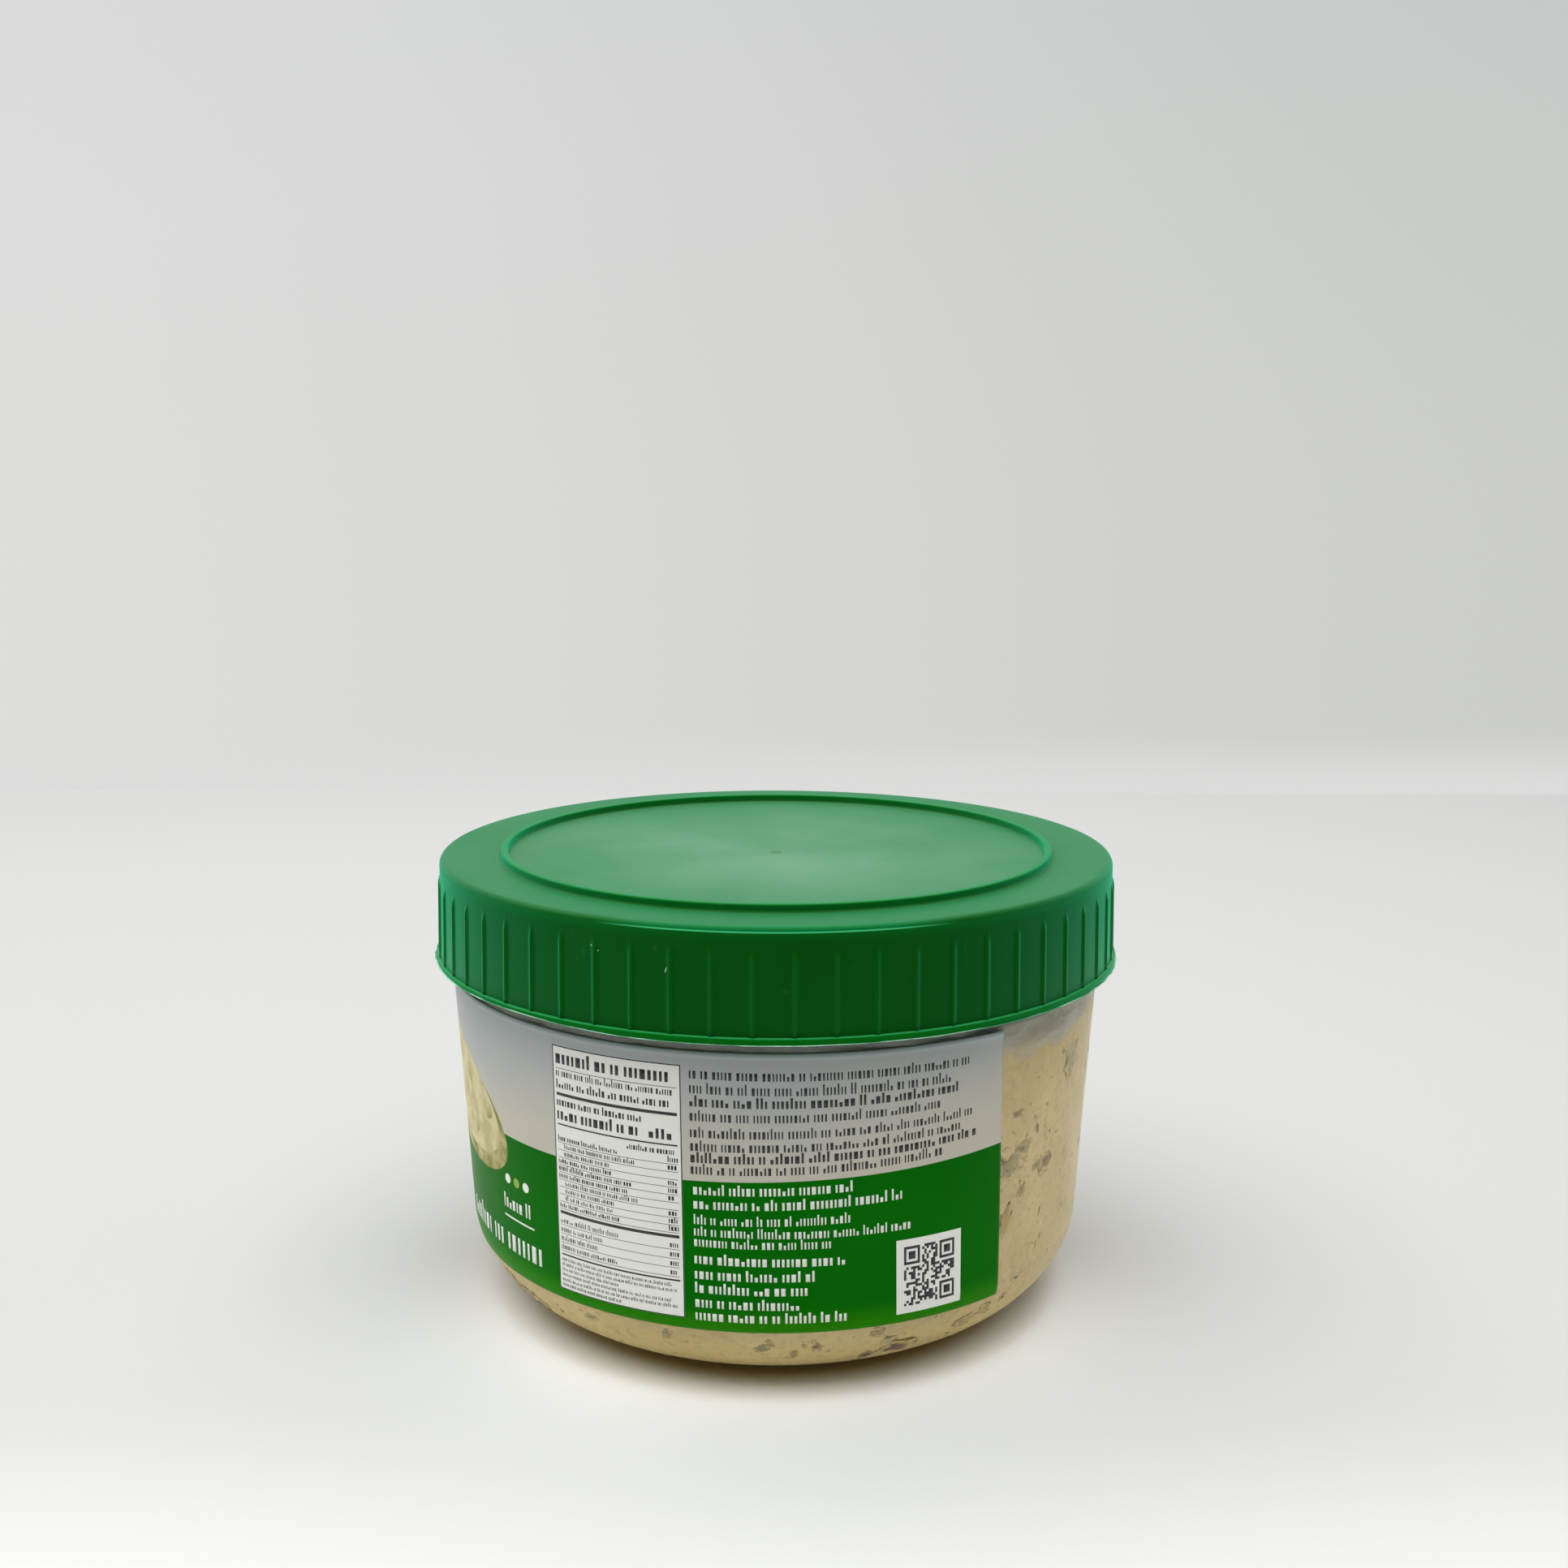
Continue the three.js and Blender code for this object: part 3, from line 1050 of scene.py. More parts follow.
@dataclass
class Halva:
    """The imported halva: it presses just into the clear wall and has an uneven top."""

    sizes: TubSizes
    wall_line: WallLine
    inset: float = 0.12 * MM
    crown: float = 1.2 * MM
    edge_dip: float = 0.9 * MM
    lumps: float = 0.55 * MM
    edge_rounding: float = 1.0 * MM
    pit_depth: float = 0.09 * MM
    grain_scale: float = 420.0
    grain_height: float = 0.35 * MM
    pit_scale: float = 520.0
    hollow_scale: float = 170.0
    columns: int = 420
    wall_rows: int = 56
    top_rows: int = 26

    @property
    def level(self) -> float:
        """Mean height of the surface where it meets the wall."""
        return self.sizes.halva_top - self.crown - 0.1 * MM

    def surface(self, angle: float, share: float) -> float:
        """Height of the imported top.

        Args:
            angle: angle round the tub.
            share: share of the way from the middle out to the wall.

        Returns:
            The height over the foot.
        """
        wave = 0.6 * math.sin(3 * angle + 0.9) + 0.4 * math.sin(7 * angle - 0.5)
        swell = 4 * share * (1 - share)
        lump = swell * math.sin(5 * angle + 6 * share) * math.cos(9 * share - 2 * angle)
        height = self.level + self.crown * (1 - share * share)
        return height + self.edge_dip * wave * share * share + self.lumps * lump

    def outline(self) -> Outline:
        """The section: flat foot, corner, wall and a level top that is then made uneven.

        Returns:
            Points of radius and height.
        """
        corner = self.wall_line.corner(self.inset, 22)
        foot = [(radius, self.inset) for radius in spaced(0.0, corner[0][0], 22)[:-1]]
        side_top = self.level - 2 * self.edge_dip
        heights = spaced(self.wall_line.foot_rise, side_top, self.wall_rows)[1:]
        side = [(self.wall_line.straight(height) - self.inset, height) for height in heights]
        edge = self.wall_line.straight(self.level) - self.inset
        top = [(radius, self.level) for radius in spaced(edge - self.edge_rounding, 0.0, self.top_rows)]
        return [*foot, *corner, *side, (edge - 0.25 * MM, self.level - 0.5 * MM), *top]

    def build(self) -> bpy.types.Object:
        """Makes the halva.

        Returns:
            The new object.
        """
        bm = spin_outline(self.outline(), self.columns)
        side_top = self.level - 2 * self.edge_dip
        edge = self.wall_line.straight(self.level) - self.inset
        for vert in bm.verts:
            reach = math.hypot(vert.co.x, vert.co.y)
            angle = math.atan2(vert.co.y, vert.co.x)
            if vert.co.z > side_top + MERGE:
                drop = self.level - vert.co.z
                grain = noise.noise(vert.co * self.grain_scale) * self.grain_height
                share = min(1.0, reach / edge)
                vert.co.z = self.surface(angle, share) - drop + grain
            elif reach > MERGE:
                pit = smooth_step(0.30, 0.62, noise.noise(vert.co * self.pit_scale))
                spot = vert.co * self.hollow_scale + Vector((7.0, 3.0, 5.0))
                hollow = smooth_step(0.35, 0.75, noise.noise(spot))
                depth = self.pit_depth * max(pit, 0.8 * hollow)
                vert.co -= vert.normal * depth
        return finish_piece("halva_fill", bm, HalvaPaste().build(), ["halva"])


@dataclass
class SealFilm:
    """The creased film against the wall: it comes out of the halva's side and runs up into the cap, where it
    carries a band of painted shade.
    """

    wall_line: WallLine
    low: float = 42.6 * MM
    high: float = 54.9 * MM
    inset: float = 0.05 * MM
    tuck: float = 0.40 * MM
    tuck_reach: float = 3.0 * MM
    fold: float = 0.55 * MM
    ragged: float = 0.6 * MM
    thickness: float = 0.05 * MM
    columns: int = 990
    rows: int = 22

    def build(self) -> bpy.types.Object:
        """Makes the film.

        Returns:
            The new object.
        """
        heights = spaced(self.low, self.high, self.rows)
        outer = [(self.wall_line.straight(height) - self.inset, height) for height in heights]
        inner = [(radius - self.thickness, height) for radius, height in reversed(outer)]
        bm = spin_outline([*outer, *inner], self.columns, joined=True)
        for vert in bm.verts:
            radius = math.hypot(vert.co.x, vert.co.y)
            turn = math.atan2(vert.co.x, -vert.co.y)
            share = (vert.co.z - self.low) / (self.high - self.low)
            spot = around(turn, 9.0, share * 2.6)
            edge = self.ragged * noise.noise(around(turn, 7.0, 4.0)) * (1 - share)
            crease = abs(noise.noise(spot + Vector((share * 3.0, 0.0, 2.0))))
            crease += 0.5 * abs(noise.noise(spot * 2.7))
            slack = smooth_step(0.55, 0.85, share)
            tucked = self.tuck * smooth_step(self.low + self.tuck_reach, self.low, vert.co.z)
            vert.co = around(turn, radius - self.fold * crease * slack - tucked, vert.co.z + edge)
        return finish_piece("seal_film", bm, SealFilmFinish().build())


@dataclass(frozen=True)
class NutPlace:
    """Where one piece of nut is pressed against the wall.

    Attributes:
        turn: angle round the tub, in degrees.
        height: height over the foot, in millimetres.
        wide: width along the wall, in millimetres.
        tall: height of the piece, in millimetres.
        nut: its kind.
    """

    turn: float
    height: float
    wide: float
    tall: float
    nut: Nut


@dataclass
class NutPieces:
    """Pieces of pistachio and crust pressed against the clear wall where it isn't covered."""

    wall_line: WallLine
    inset: float = 0.03 * MM
    sunk: float = 0.14 * MM
    seed: int = 41
    loose: int = 70
    gap: tuple[float, float] = (68.0, 116.0)
    shown: tuple[NutPlace, ...] = (
        NutPlace(44.1, 38.8, 2.4, 1.3, Nut.SKIN),
        NutPlace(49.8, 35.1, 0.9, 1.7, Nut.SKIN),
        NutPlace(42.4, 31.2, 6.4, 4.6, Nut.KERNEL),
        NutPlace(41.4, 30.6, 3.0, 3.0, Nut.SKIN),
        NutPlace(46.2, 33.0, 3.4, 2.2, Nut.KERNEL),
        NutPlace(53.6, 28.9, 3.4, 3.4, Nut.SKIN),
        NutPlace(50.6, 29.4, 2.4, 2.4, Nut.KERNEL),
        NutPlace(46.2, 26.6, 2.2, 2.6, Nut.CRUST),
        NutPlace(42.6, 22.4, 2.6, 5.4, Nut.CRUST),
        NutPlace(52.8, 21.3, 0.4, 1.4, Nut.SKIN),
        NutPlace(46.8, 12.4, 2.0, 1.0, Nut.KERNEL),
        NutPlace(61.0, 43.6, 5.2, 6.0, Nut.SMEAR),
        NutPlace(61.5, 42.4, 2.4, 2.2, Nut.SMEAR),
        NutPlace(46.1, 33.9, 0.7, 0.6, Nut.SKIN),
        NutPlace(7.4, 8.1, 1.7, 1.5, Nut.PLUM),
        NutPlace(5.2, 8.4, 0.8, 1.0, Nut.CRUST),
        NutPlace(3.6, 6.6, 1.1, 2.4, Nut.CRUST),
        NutPlace(17.4, 4.9, 2.6, 2.4, Nut.PLUM),
        NutPlace(22.9, 5.6, 5.6, 4.4, Nut.PLUM),
        NutPlace(20.6, 7.4, 2.6, 2.6, Nut.SMEAR),
        NutPlace(17.8, 9.8, 2.6, 1.6, Nut.CRUST),
        NutPlace(40.3, 9.0, 2.4, 2.2, Nut.CRUST),
        NutPlace(36.1, 7.8, 3.8, 2.6, Nut.CRUST),
        NutPlace(44.6, 9.6, 1.4, 1.4, Nut.PLUM),
        NutPlace(-57.0, 7.8, 4.4, 3.6, Nut.SKIN),
        NutPlace(-52.6, 7.0, 3.6, 3.0, Nut.SKIN),
        NutPlace(-48.5, 6.6, 3.2, 2.4, Nut.CRUST),
        NutPlace(-18.6, 9.2, 1.6, 1.9, Nut.KERNEL),
        NutPlace(-33.9, 9.0, 2.6, 1.2, Nut.KERNEL),
        NutPlace(-1.9, 8.0, 2.6, 1.6, Nut.KERNEL),
    )

    def scattered(self) -> list[NutPlace]:
        """More pieces by seeded draws: over the far side of the gap, and low down all round.

        Returns:
            The places, in the order drawn.
        """
        draw = random.Random(self.seed)
        places = []
        for _ in range(self.loose):
            open_wall = draw.random() < 0.35
            if open_wall:
                turn = draw.uniform(*self.gap)
                height = draw.uniform(11.0, 44.0)
            else:
                turn = draw.uniform(-180.0, 180.0)
                height = draw.uniform(1.6, 9.6)
            near = not open_wall and abs(turn) < 60.0
            wide = draw.uniform(0.4, 1.2) if near else draw.uniform(0.6, 3.0)
            tall = wide * draw.uniform(0.5, 1.2)
            nut = Nut.KERNEL if draw.random() < 0.62 else Nut.SKIN
            places.append(NutPlace(turn, height, wide, tall, nut))
        return places

    def add_piece(self, bm: bmesh.types.BMesh, spot: NutPlace, draw: random.Random) -> None:
        """Adds one rough nugget, flat where it presses on the wall.

        Args:
            bm: the mesh that it joins.
            spot: its place and size.
            draw: source of its roughness.
        """
        made = bmesh.ops.create_icosphere(bm, subdivisions=3, radius=1.0)["verts"]
        height = spot.height * MM
        angle = math.radians(spot.turn)
        below = self.wall_line.radius(max(height - 0.4 * MM, 0.0))
        above = self.wall_line.radius(height + 0.4 * MM)
        lean = math.atan2(above - below, 0.8 * MM)
        out = Vector((math.sin(angle) * math.cos(lean), -math.cos(angle) * math.cos(lean), -math.sin(lean)))
        side = Vector((math.cos(angle), math.sin(angle), 0.0))
        up = out.cross(side) * -1.0
        middle = around(angle, self.wall_line.radius(height), height) - out * self.inset
        shift = Vector((draw.uniform(0, 9), draw.uniform(0, 9), draw.uniform(0, 9)))
        skew = draw.uniform(-0.3, 0.3)
        layer = bm.verts.layers.float[spot.nut.value.core_map]
        for vert in made:
            core = max(0.0, 1.0 - vert.co.x**2 - vert.co.y**2)
            vert[layer] = core
            rough = 1.0 + 0.55 * noise.noise(vert.co * 1.5 + shift)
            rough += 0.45 * noise.noise(vert.co * 4.5 + shift)
            across = vert.co.x * rough * spot.wide * MM / 2
            rise = vert.co.y * rough * spot.tall * MM / 2
            deep = vert.co.z * rough * 0.5 * spot.tall * MM
            if vert.co.z >= 0:
                deep = -self.sunk * (1 - core) ** 2
            vert.co = middle + side * (across + skew * rise) + up * rise + out * deep

    def build(self) -> list[bpy.types.Object]:
        """Makes one piece for each kind of nut.

        Returns:
            The new objects.
        """
        draw = random.Random(self.seed + 1)
        pieces = []
        places = [*self.shown, *self.scattered()]
        for nut in Nut:
            bm = bmesh.new()
            bm.verts.layers.float.new(nut.value.core_map)
            for spot in places:
                if spot.nut is nut:
                    self.add_piece(bm, spot, draw)
            bmesh.ops.recalc_face_normals(bm, faces=bm.faces)
            pieces.append(finish_piece(nut.value.name + "_pieces", bm, nut.value.build()))
        return pieces


# ---- Label -------------------------------------------------------------------------------------


class OvalInk(Enum):
    """The inks of the plain ovals."""

    CREAM = "cream"
    OLIVE = "olive"
    LIME = "lime"
    WHITE = "white"


@dataclass(frozen=True)
class Oval:
    """A printed oval: its middle and half axes in metres, its turn in degrees and its ink."""

    middle: tuple[float, float]
    half: tuple[float, float]
    tilt: float
    ink: OvalInk


@dataclass(frozen=True)
class Panel:
    """A pale printed rectangle, by its edges in metres."""

    left: float
    right: float
    low: float
    high: float

    @property
    def middle(self) -> tuple[float, float]:
        """Its middle."""
        return (self.left + self.right) / 2, (self.low + self.high) / 2

    @property
    def half(self) -> tuple[float, float]:
        """Half its width and height."""
        return (self.right - self.left) / 2, (self.high - self.low) / 2

    def in_mm(self) -> Box:
        """Its edges in millimetres: left, right, low and high."""
        return self.left / MM, self.right / MM, self.low / MM, self.high / MM


TABLE_PANEL = Panel(-33.3 * MM, -12.6 * MM, 12.9 * MM, 50.4 * MM)
BLOCK_PANEL = Panel(17.1 * MM, 27.5 * MM, 12.6 * MM, 24.0 * MM)
BACK_PANEL = Panel(-199.0 * MM, -163.0 * MM, 40.0 * MM, 49.0 * MM)


def generic_motif() -> tuple[Oval, ...]:
    """Plain ovals: cream ones on olive ones, small olive rounds scattered on them, and a row of three dots.

    Returns:
        The ovals, those underneath first.
    """
    ovals = []
    for middle, half, tilt in (
        ((-65.5 * MM, 37.2 * MM), (20.0 * MM, 8.4 * MM), -17.0),
        ((-126.0 * MM, 34.0 * MM), (30.0 * MM, 11.0 * MM), 8.0),
    ):
        turn = math.radians(tilt)
        under = (middle[0] + 1.3 * MM, middle[1] - 1.5 * MM)
        ovals.append(Oval(under, half, tilt, OvalInk.OLIVE))
        ovals.append(Oval(middle, (half[0] - 1.0 * MM, half[1] - 0.6 * MM), tilt, OvalInk.CREAM))
        rounds = 9
        for index in range(rounds):
            swirl = 2.4 * index
            reach = 0.82 * math.sqrt((index + 0.6) / rounds)
            across, up = half[0] * reach * math.cos(swirl), half[1] * reach * math.sin(swirl)
            spot = (
                middle[0] + across * math.cos(turn) - up * math.sin(turn),
                middle[1] + across * math.sin(turn) + up * math.cos(turn),
            )
            ovals.append(Oval(spot, (1.1 * MM, 0.7 * MM), 47.0 * index, OvalInk.OLIVE))
    for length, ink in ((-45.2, OvalInk.WHITE), (-42.8, OvalInk.LIME), (-40.4, OvalInk.WHITE)):
        ovals.append(Oval((length * MM, 26.4 * MM), (0.75 * MM, 0.75 * MM), 0.0, ink))
    return tuple(ovals)


@dataclass
class LabelSheet:
    """The paper label: a straight strip wrapped round the tapered wall, open at the right.

    Places on it are given as the length along it, from the front towards the right at mid height,
    and the height over the foot.
    """

    sizes: TubSizes
    wall_line: WallLine
    start: float = -211.0 * MM
    end: float = 34.9 * MM
    clearance: float = 0.03 * MM
    thickness: float = 0.14 * MM
    lean_slope: float = 0.07
    lean_rest: float = 0.6 * MM
    lean_reach: float = 55.0 * MM
    split: float = 34.0 * MM
    rise_slope: float = 0.028
    rise_square: float = 0.35
    rise_from: float = -40.0 * MM
    curl: float = 0.35 * MM
    columns: int = 540
    rows: int = 56
    map_name: str = "print_map"
    panels: tuple[Panel, ...] = (TABLE_PANEL, BLOCK_PANEL, BACK_PANEL)
    ovals: tuple[Oval, ...] = generic_motif()

    @property
    def low(self) -> float:
        """Height of the lower edge."""
        return self.sizes.label_low

    @property
    def high(self) -> float:
        """Height of the upper edge."""
        return self.sizes.label_high

    @property
    def mid(self) -> float:
        """Height of the middle."""
        return (self.low + self.high) / 2

    def angle(self, length: float, height: float) -> float:
        """Angle round the tub of a place on the label.

        Args:
            length: length along the label.
            height: height over the foot.

        Returns:
            The angle, in radians.
        """
        held = max(-self.lean_reach, min(self.lean_reach, length))
        lean = self.lean_slope * held + self.lean_rest
        share = (self.mid - height) / (self.high - self.low)
        return (length + lean * share) / self.wall_line.radius(self.mid)

    def rise(self, length: float) -> float:
        """How far the line between the two fields stands over its height at the front."""
        held = max(self.rise_from, length)
        return held * (self.rise_slope + self.rise_square * held)

    def place(self, length: float, height: float, lift: float) -> Vector:
        """The point on the wall for a place on the label.

        Args:
            length: length along the label.
            height: height over the foot.
            lift: height over the paper's inner face.

        Returns:
            The point.
        """
        near_end = smooth_step(self.end - 12 * MM, self.end, length)
        corner = near_end * smooth_step(self.high - 2.5 * MM, self.high, height)
        radius = self.wall_line.radius(height) + self.clearance + lift + self.curl * corner
        return around(self.angle(length, height), radius, height)

    def thicken(self, bm: bmesh.types.BMesh, thickness: float) -> None:
        """Gives a flat drawing its thickness.

        Args:
            bm: faces drawn flat, with x as the length along the label and y as the height.
            thickness: thickness of the layer.
        """
        raised = bmesh.ops.extrude_face_region(bm, geom=list(bm.faces), use_keep_orig=True)
        for vert in raised["geom"]:
            if isinstance(vert, bmesh.types.BMVert):
                vert.co.z = thickness
        bmesh.ops.recalc_face_normals(bm, faces=bm.faces)

    def wrap(self, bm: bmesh.types.BMesh, lift: float = 0.0) -> None:
        """Wraps a drawing on the wall.

        Args:
            bm: the drawing, with x as the length, y as the height and z as the height over the paper.
            lift: height of its underside over the paper's inner face.
        """
        for vert in bm.verts:
            vert.co = self.place(vert.co.x, vert.co.y, lift + vert.co.z)

    def build(self) -> bpy.types.Object:
        """Makes the paper, with a map of its length and height.

        Returns:
            The new object.
        """
        bm = bmesh.new()
        made = bmesh.ops.create_grid(bm, x_segments=self.columns, y_segments=self.rows, size=0.5)["verts"]
        for vert in made:
            vert.co.x = self.start + (self.end - self.start) * (vert.co.x + 0.5)
            vert.co.y = self.low + (self.high - self.low) * (vert.co.y + 0.5)
        self.thicken(bm, self.thickness)
        layer = bm.loops.layers.uv.new(self.map_name)
        for face in bm.faces:
            for loop in face.loops:
                loop[layer].uv = loop.vert.co.xy
        self.wrap(bm)
        material = LabelPaper().build(self)
        return finish_piece("label_sheet", bm, material, ["label"])


class Mark(Enum):
    """Plain upright blocks, each given by its width and height as shares of a low block's height."""

    THIN = (0.17, 1.00)
    PLAIN = (0.22, 1.00)
    WIDE = (0.36, 1.00)
    HALF = (0.26, 0.60)
    TALL = (0.19, 1.42)


MARK_ORDER = [
    Mark.PLAIN,
    Mark.THIN,
    Mark.WIDE,
    Mark.PLAIN,
    Mark.THIN,
    Mark.TALL,
    Mark.PLAIN,
    Mark.HALF,
    Mark.WIDE,
]


@dataclass
class LabelPrint:
    """The small marks of the print: a plain table, rows of upright blocks and a square of blocks.

    The rows stand where a pack has its small print, and hold no letters. All sizes are in millimetres.
    """

    sheet: LabelSheet
    seed: int = 7
    layer: float = 0.012
    step: float = 1.2
    bend_from: float = 15.4

    def __post_init__(self) -> None:
        """Starts a flat drawing for each ink."""
        self.flat = {ink: bmesh.new() for ink in Inks}
        self.draw = random.Random(self.seed)

    def bars(self, ink: Inks, boxes: Iterable[Box], rising: bool = False) -> None:
        """Draws upright rectangles.

        Args:
            ink: their ink.
            boxes: the left, right, low and high edge of each.
            rising: True where they follow the line between the two fields.
        """
        bm = bmesh.new()
        for left, right, low, high in boxes:
            columns = max(1, round((right - left) / self.step))
            rows = max(1, round((high - low) / 0.6)) if low < self.bend_from else 1
            made = bmesh.ops.create_grid(bm, x_segments=columns, y_segments=rows, size=0.5)["verts"]
            for vert in made:
                length = left + (right - left) * (vert.co.x + 0.5)
                height = low + (high - low) * (vert.co.y + 0.5)
                if rising:
                    height += self.lift(length, height)
                vert.co = Vector((length * MM, height * MM, 0.0))
        sketch = bpy.data.meshes.new("sketch")
        bm.to_mesh(sketch)
        bm.free()
        self.flat[ink].from_mesh(sketch)
        bpy.data.meshes.remove(sketch)

    def lift(self, length: float, height: float) -> float:
        """How far a row of marks bends up with the line between the fields, fading away from it."""
        near = math.exp(-(((height - self.sheet.split / MM) / 9.0) ** 2))
        return near * (self.sheet.rise(length * MM) - self.sheet.rise(-11.5 * MM)) / MM

    def mark_row(
        self,
        ink: Inks,
        left: float,
        right: float,
        base: float,
        size: float,
        weight: float = 1.0,
        rising: bool = False,
    ) -> None:
        """Draws a row of upright blocks in short runs.

        Args:
            ink: its ink.
            left: where the row starts.
            right: where it ends.
            base: height of its base line.
            size: height of a low block.
            weight: width of its blocks against the plain ones.
            rising: True where it follows the line between the two fields.
        """
        gap = size * 0.25
        boxes = []
        at = left
        while at < right - size:
            for _ in range(self.draw.randint(2, 9)):
                wide, tall = self.draw.choice(MARK_ORDER).value
                end = at + wide * size * (1 + 0.65 * (weight - 1))
                if end > right:
                    break
                boxes.append((at, end, base, base + tall * size))
                at = end + gap
            at += gap * 1.5
        self.bars(ink, boxes, rising)

    def table(self) -> None:
        """The pale table left of the front: a border, thick and thin rules and short rows."""
        left, right, low, high = TABLE_PANEL.in_mm()
        border = 0.16
        margin = 0.6
        start, end = left + margin, right - margin
        rules = [
            (left, right, high - border, high),
            (left, right, low, low + border),
            (left, left + border, low, high),
            (right - border, right, low, high),
            (start, end, 47.0, 47.08),
            (start, end, 42.95, 43.4),
            (start, end, 38.5, 38.72),
        ]
        head_rows = (
            (start, end, 47.75, 1.45, 1.9),
            (start, end - 0.4, 45.85, 0.80, 1.0),
            (start, end - 0.9, 44.1, 0.92, 1.5),
            (start, end - 5.0, 41.45, 0.85, 1.5),
            (start, end - 5.4, 39.35, 1.25, 1.9),
            (end - 4.2, end, 39.35, 1.50, 2.1),
            (end - 7.6, end, 37.2, 0.66, 1.4),
        )
        for at, to, base, size, weight in head_rows:
            self.mark_row(Inks.DARK, at, to, base, size, weight)
        heavy_rows, unmarked_rows = (0, 3, 4, 5, 9), (2, 6)
        for row, base in enumerate(spaced(36.1, 25.9, 9)):
            heavy = row in heavy_rows
            at = start if heavy else start + 1.1
            to = at + self.draw.uniform(8.0, 12.5)
            self.mark_row(Inks.DARK, at, to, base, 0.58, 1.6 if heavy else 1.0)
            if row not in unmarked_rows:
                self.mark_row(Inks.DARK, end - 1.5, end, base, 0.62, 1.7)
            rules.append((start, end, base - 0.30, base - 0.23))
        rules.append((start, end, 24.85, 25.3))
        for row in range(4):
            base = 23.4 - 1.37 * row
            self.mark_row(Inks.DARK, start, start + self.draw.uniform(6.5, 12.0), base, 0.60, 1.0)
            self.mark_row(Inks.DARK, end - 1.4, end, base, 0.62, 1.3)
            rules.append((start, end, base - 0.32, base - 0.25))
        rules.append((start, end, 18.35, 18.6))
        short_rows = (2, 5)
        for row in range(6):
            cut = 9.0 if row in short_rows else self.draw.uniform(0.3, 1.5)
            self.mark_row(Inks.DARK, start, end - cut, 17.45 - 0.80 * row, 0.42, 0.9)
        self.bars(Inks.DARK, rules)

    def front_rows(self) -> None:
        """The rows of marks right of the table: dark on the grey field and white on the green."""
        dark_rows = (
            (48.6, 28.8, 1.0),
            (46.5, 26.4, 1.0),
            (44.6, 27.3, 1.7),
            (42.5, 24.2, 1.0),
            (40.1, 29.5, 1.0),
            (38.1, 29.0, 1.0),
            (36.4, 30.5, 1.7),
            (34.7, 24.5, 1.0),
        )
        for base, right, weight in dark_rows:
            self.mark_row(Inks.DARK, -11.4, right, base, 1.12, weight, rising=base < 45)
        white_rows = (
            (31.7, 11.0, 1.6, 1.12),
            (29.6, 18.8, 1.6, 1.12),
            (27.3, 10.6, 1.2, 1.04),
            (25.6, 20.2, 1.2, 1.04),
            (24.0, 9.0, 1.2, 1.04),
            (21.4, 10.2, 1.7, 1.16),
            (19.1, 7.0, 1.7, 1.16),
            (17.0, 5.2, 1.7, 1.16),
            (14.8, 4.8, 1.7, 1.16),
            (12.8, 10.4, 1.7, 1.16),
        )
        for base, right, weight, size in white_rows:
            self.mark_row(Inks.WHITE, -11.1, right, base, size, weight, rising=base > 26)

    def block_square(self) -> None:
        """A pattern of seeded blocks with three framed squares, on its white panel."""
        left, right, low, high = BLOCK_PANEL.in_mm()
        cells = 23
        margin = 1.15
        wide = (right - left - 2 * margin) / cells
        tall = (high - low - 2 * margin) / cells

        def block(column: int, row: int, across: int, up: int) -> Box:
            """The edges of a rectangle of cells."""
            x, y = left + margin + column * wide, low + margin + row * tall
            return x, x + across * wide, y, y + up * tall

        eye = 7
        corners = ((0, cells - eye), (cells - eye, cells - eye), (cells - eye, 0))
        boxes = []
        for column, row in corners:
            boxes.append(block(column, row, eye, 1))
            boxes.append(block(column, row + eye - 1, eye, 1))
            boxes.append(block(column, row + 1, 1, eye - 2))
            boxes.append(block(column + eye - 1, row + 1, 1, eye - 2))
            boxes.append(block(column + 2, row + 2, eye - 4, eye - 4))
        for row in range(cells):
            run = 0
            for column in range(cells + 1):
                in_eye = any(c - 1 <= column <= c + eye and r - 1 <= row <= r + eye for c, r in corners)
                if column < cells and not in_eye and self.draw.random() < 0.5:
                    run += 1
                elif run:
                    boxes.append(block(column - run, row, run, 1))
                    run = 0
        self.bars(Inks.DARK, boxes)

    def side_rows(self) -> None:
        """The rows by the ovals on the left and round the back."""
        self.mark_row(Inks.WHITE, -46.6, -39.0, 21.6, 1.6, 1.3)
        self.bars(Inks.WHITE, [(-46.6, -38.6, 20.1, 20.4)])
        self.mark_row(Inks.WHITE, -62.0, -36.8, 14.8, 2.7, 1.0)
        groups = (
            (Inks.WHITE, 5, -199.0, (22.0, 36.0), 30.0, 3.2, 1.3, 1.5),
            (Inks.WHITE, 3, -152.0, (30.0, 44.0), 18.6, 2.6, 1.3, 1.5),
            (Inks.DARK, 3, -196.0, (20.0, 30.0), 46.4, 2.3, 1.1, 1.2),
        )
        for ink, rows, left, extent, top, pitch, size, weight in groups:
            for row in range(rows):
                end = left + self.draw.uniform(*extent)
                self.mark_row(ink, left, end, top - pitch * row, size, weight)

    def build(self) -> list[bpy.types.Object]:
        """Draws everything and wraps each ink on the label.

        Returns:
            One piece for each ink.
        """
        self.table()
        self.front_rows()
        self.block_square()
        self.side_rows()
        pieces = []
        for ink, bm in self.flat.items():
            self.sheet.thicken(bm, self.layer * MM)
            self.sheet.wrap(bm, self.sheet.thickness)
            name = f"print_{ink.name.lower()}"
            pieces.append(finish_piece(name, bm, ink.value.build()))
        return pieces


# ---- Cap ---------------------------------------------------------------------------------------


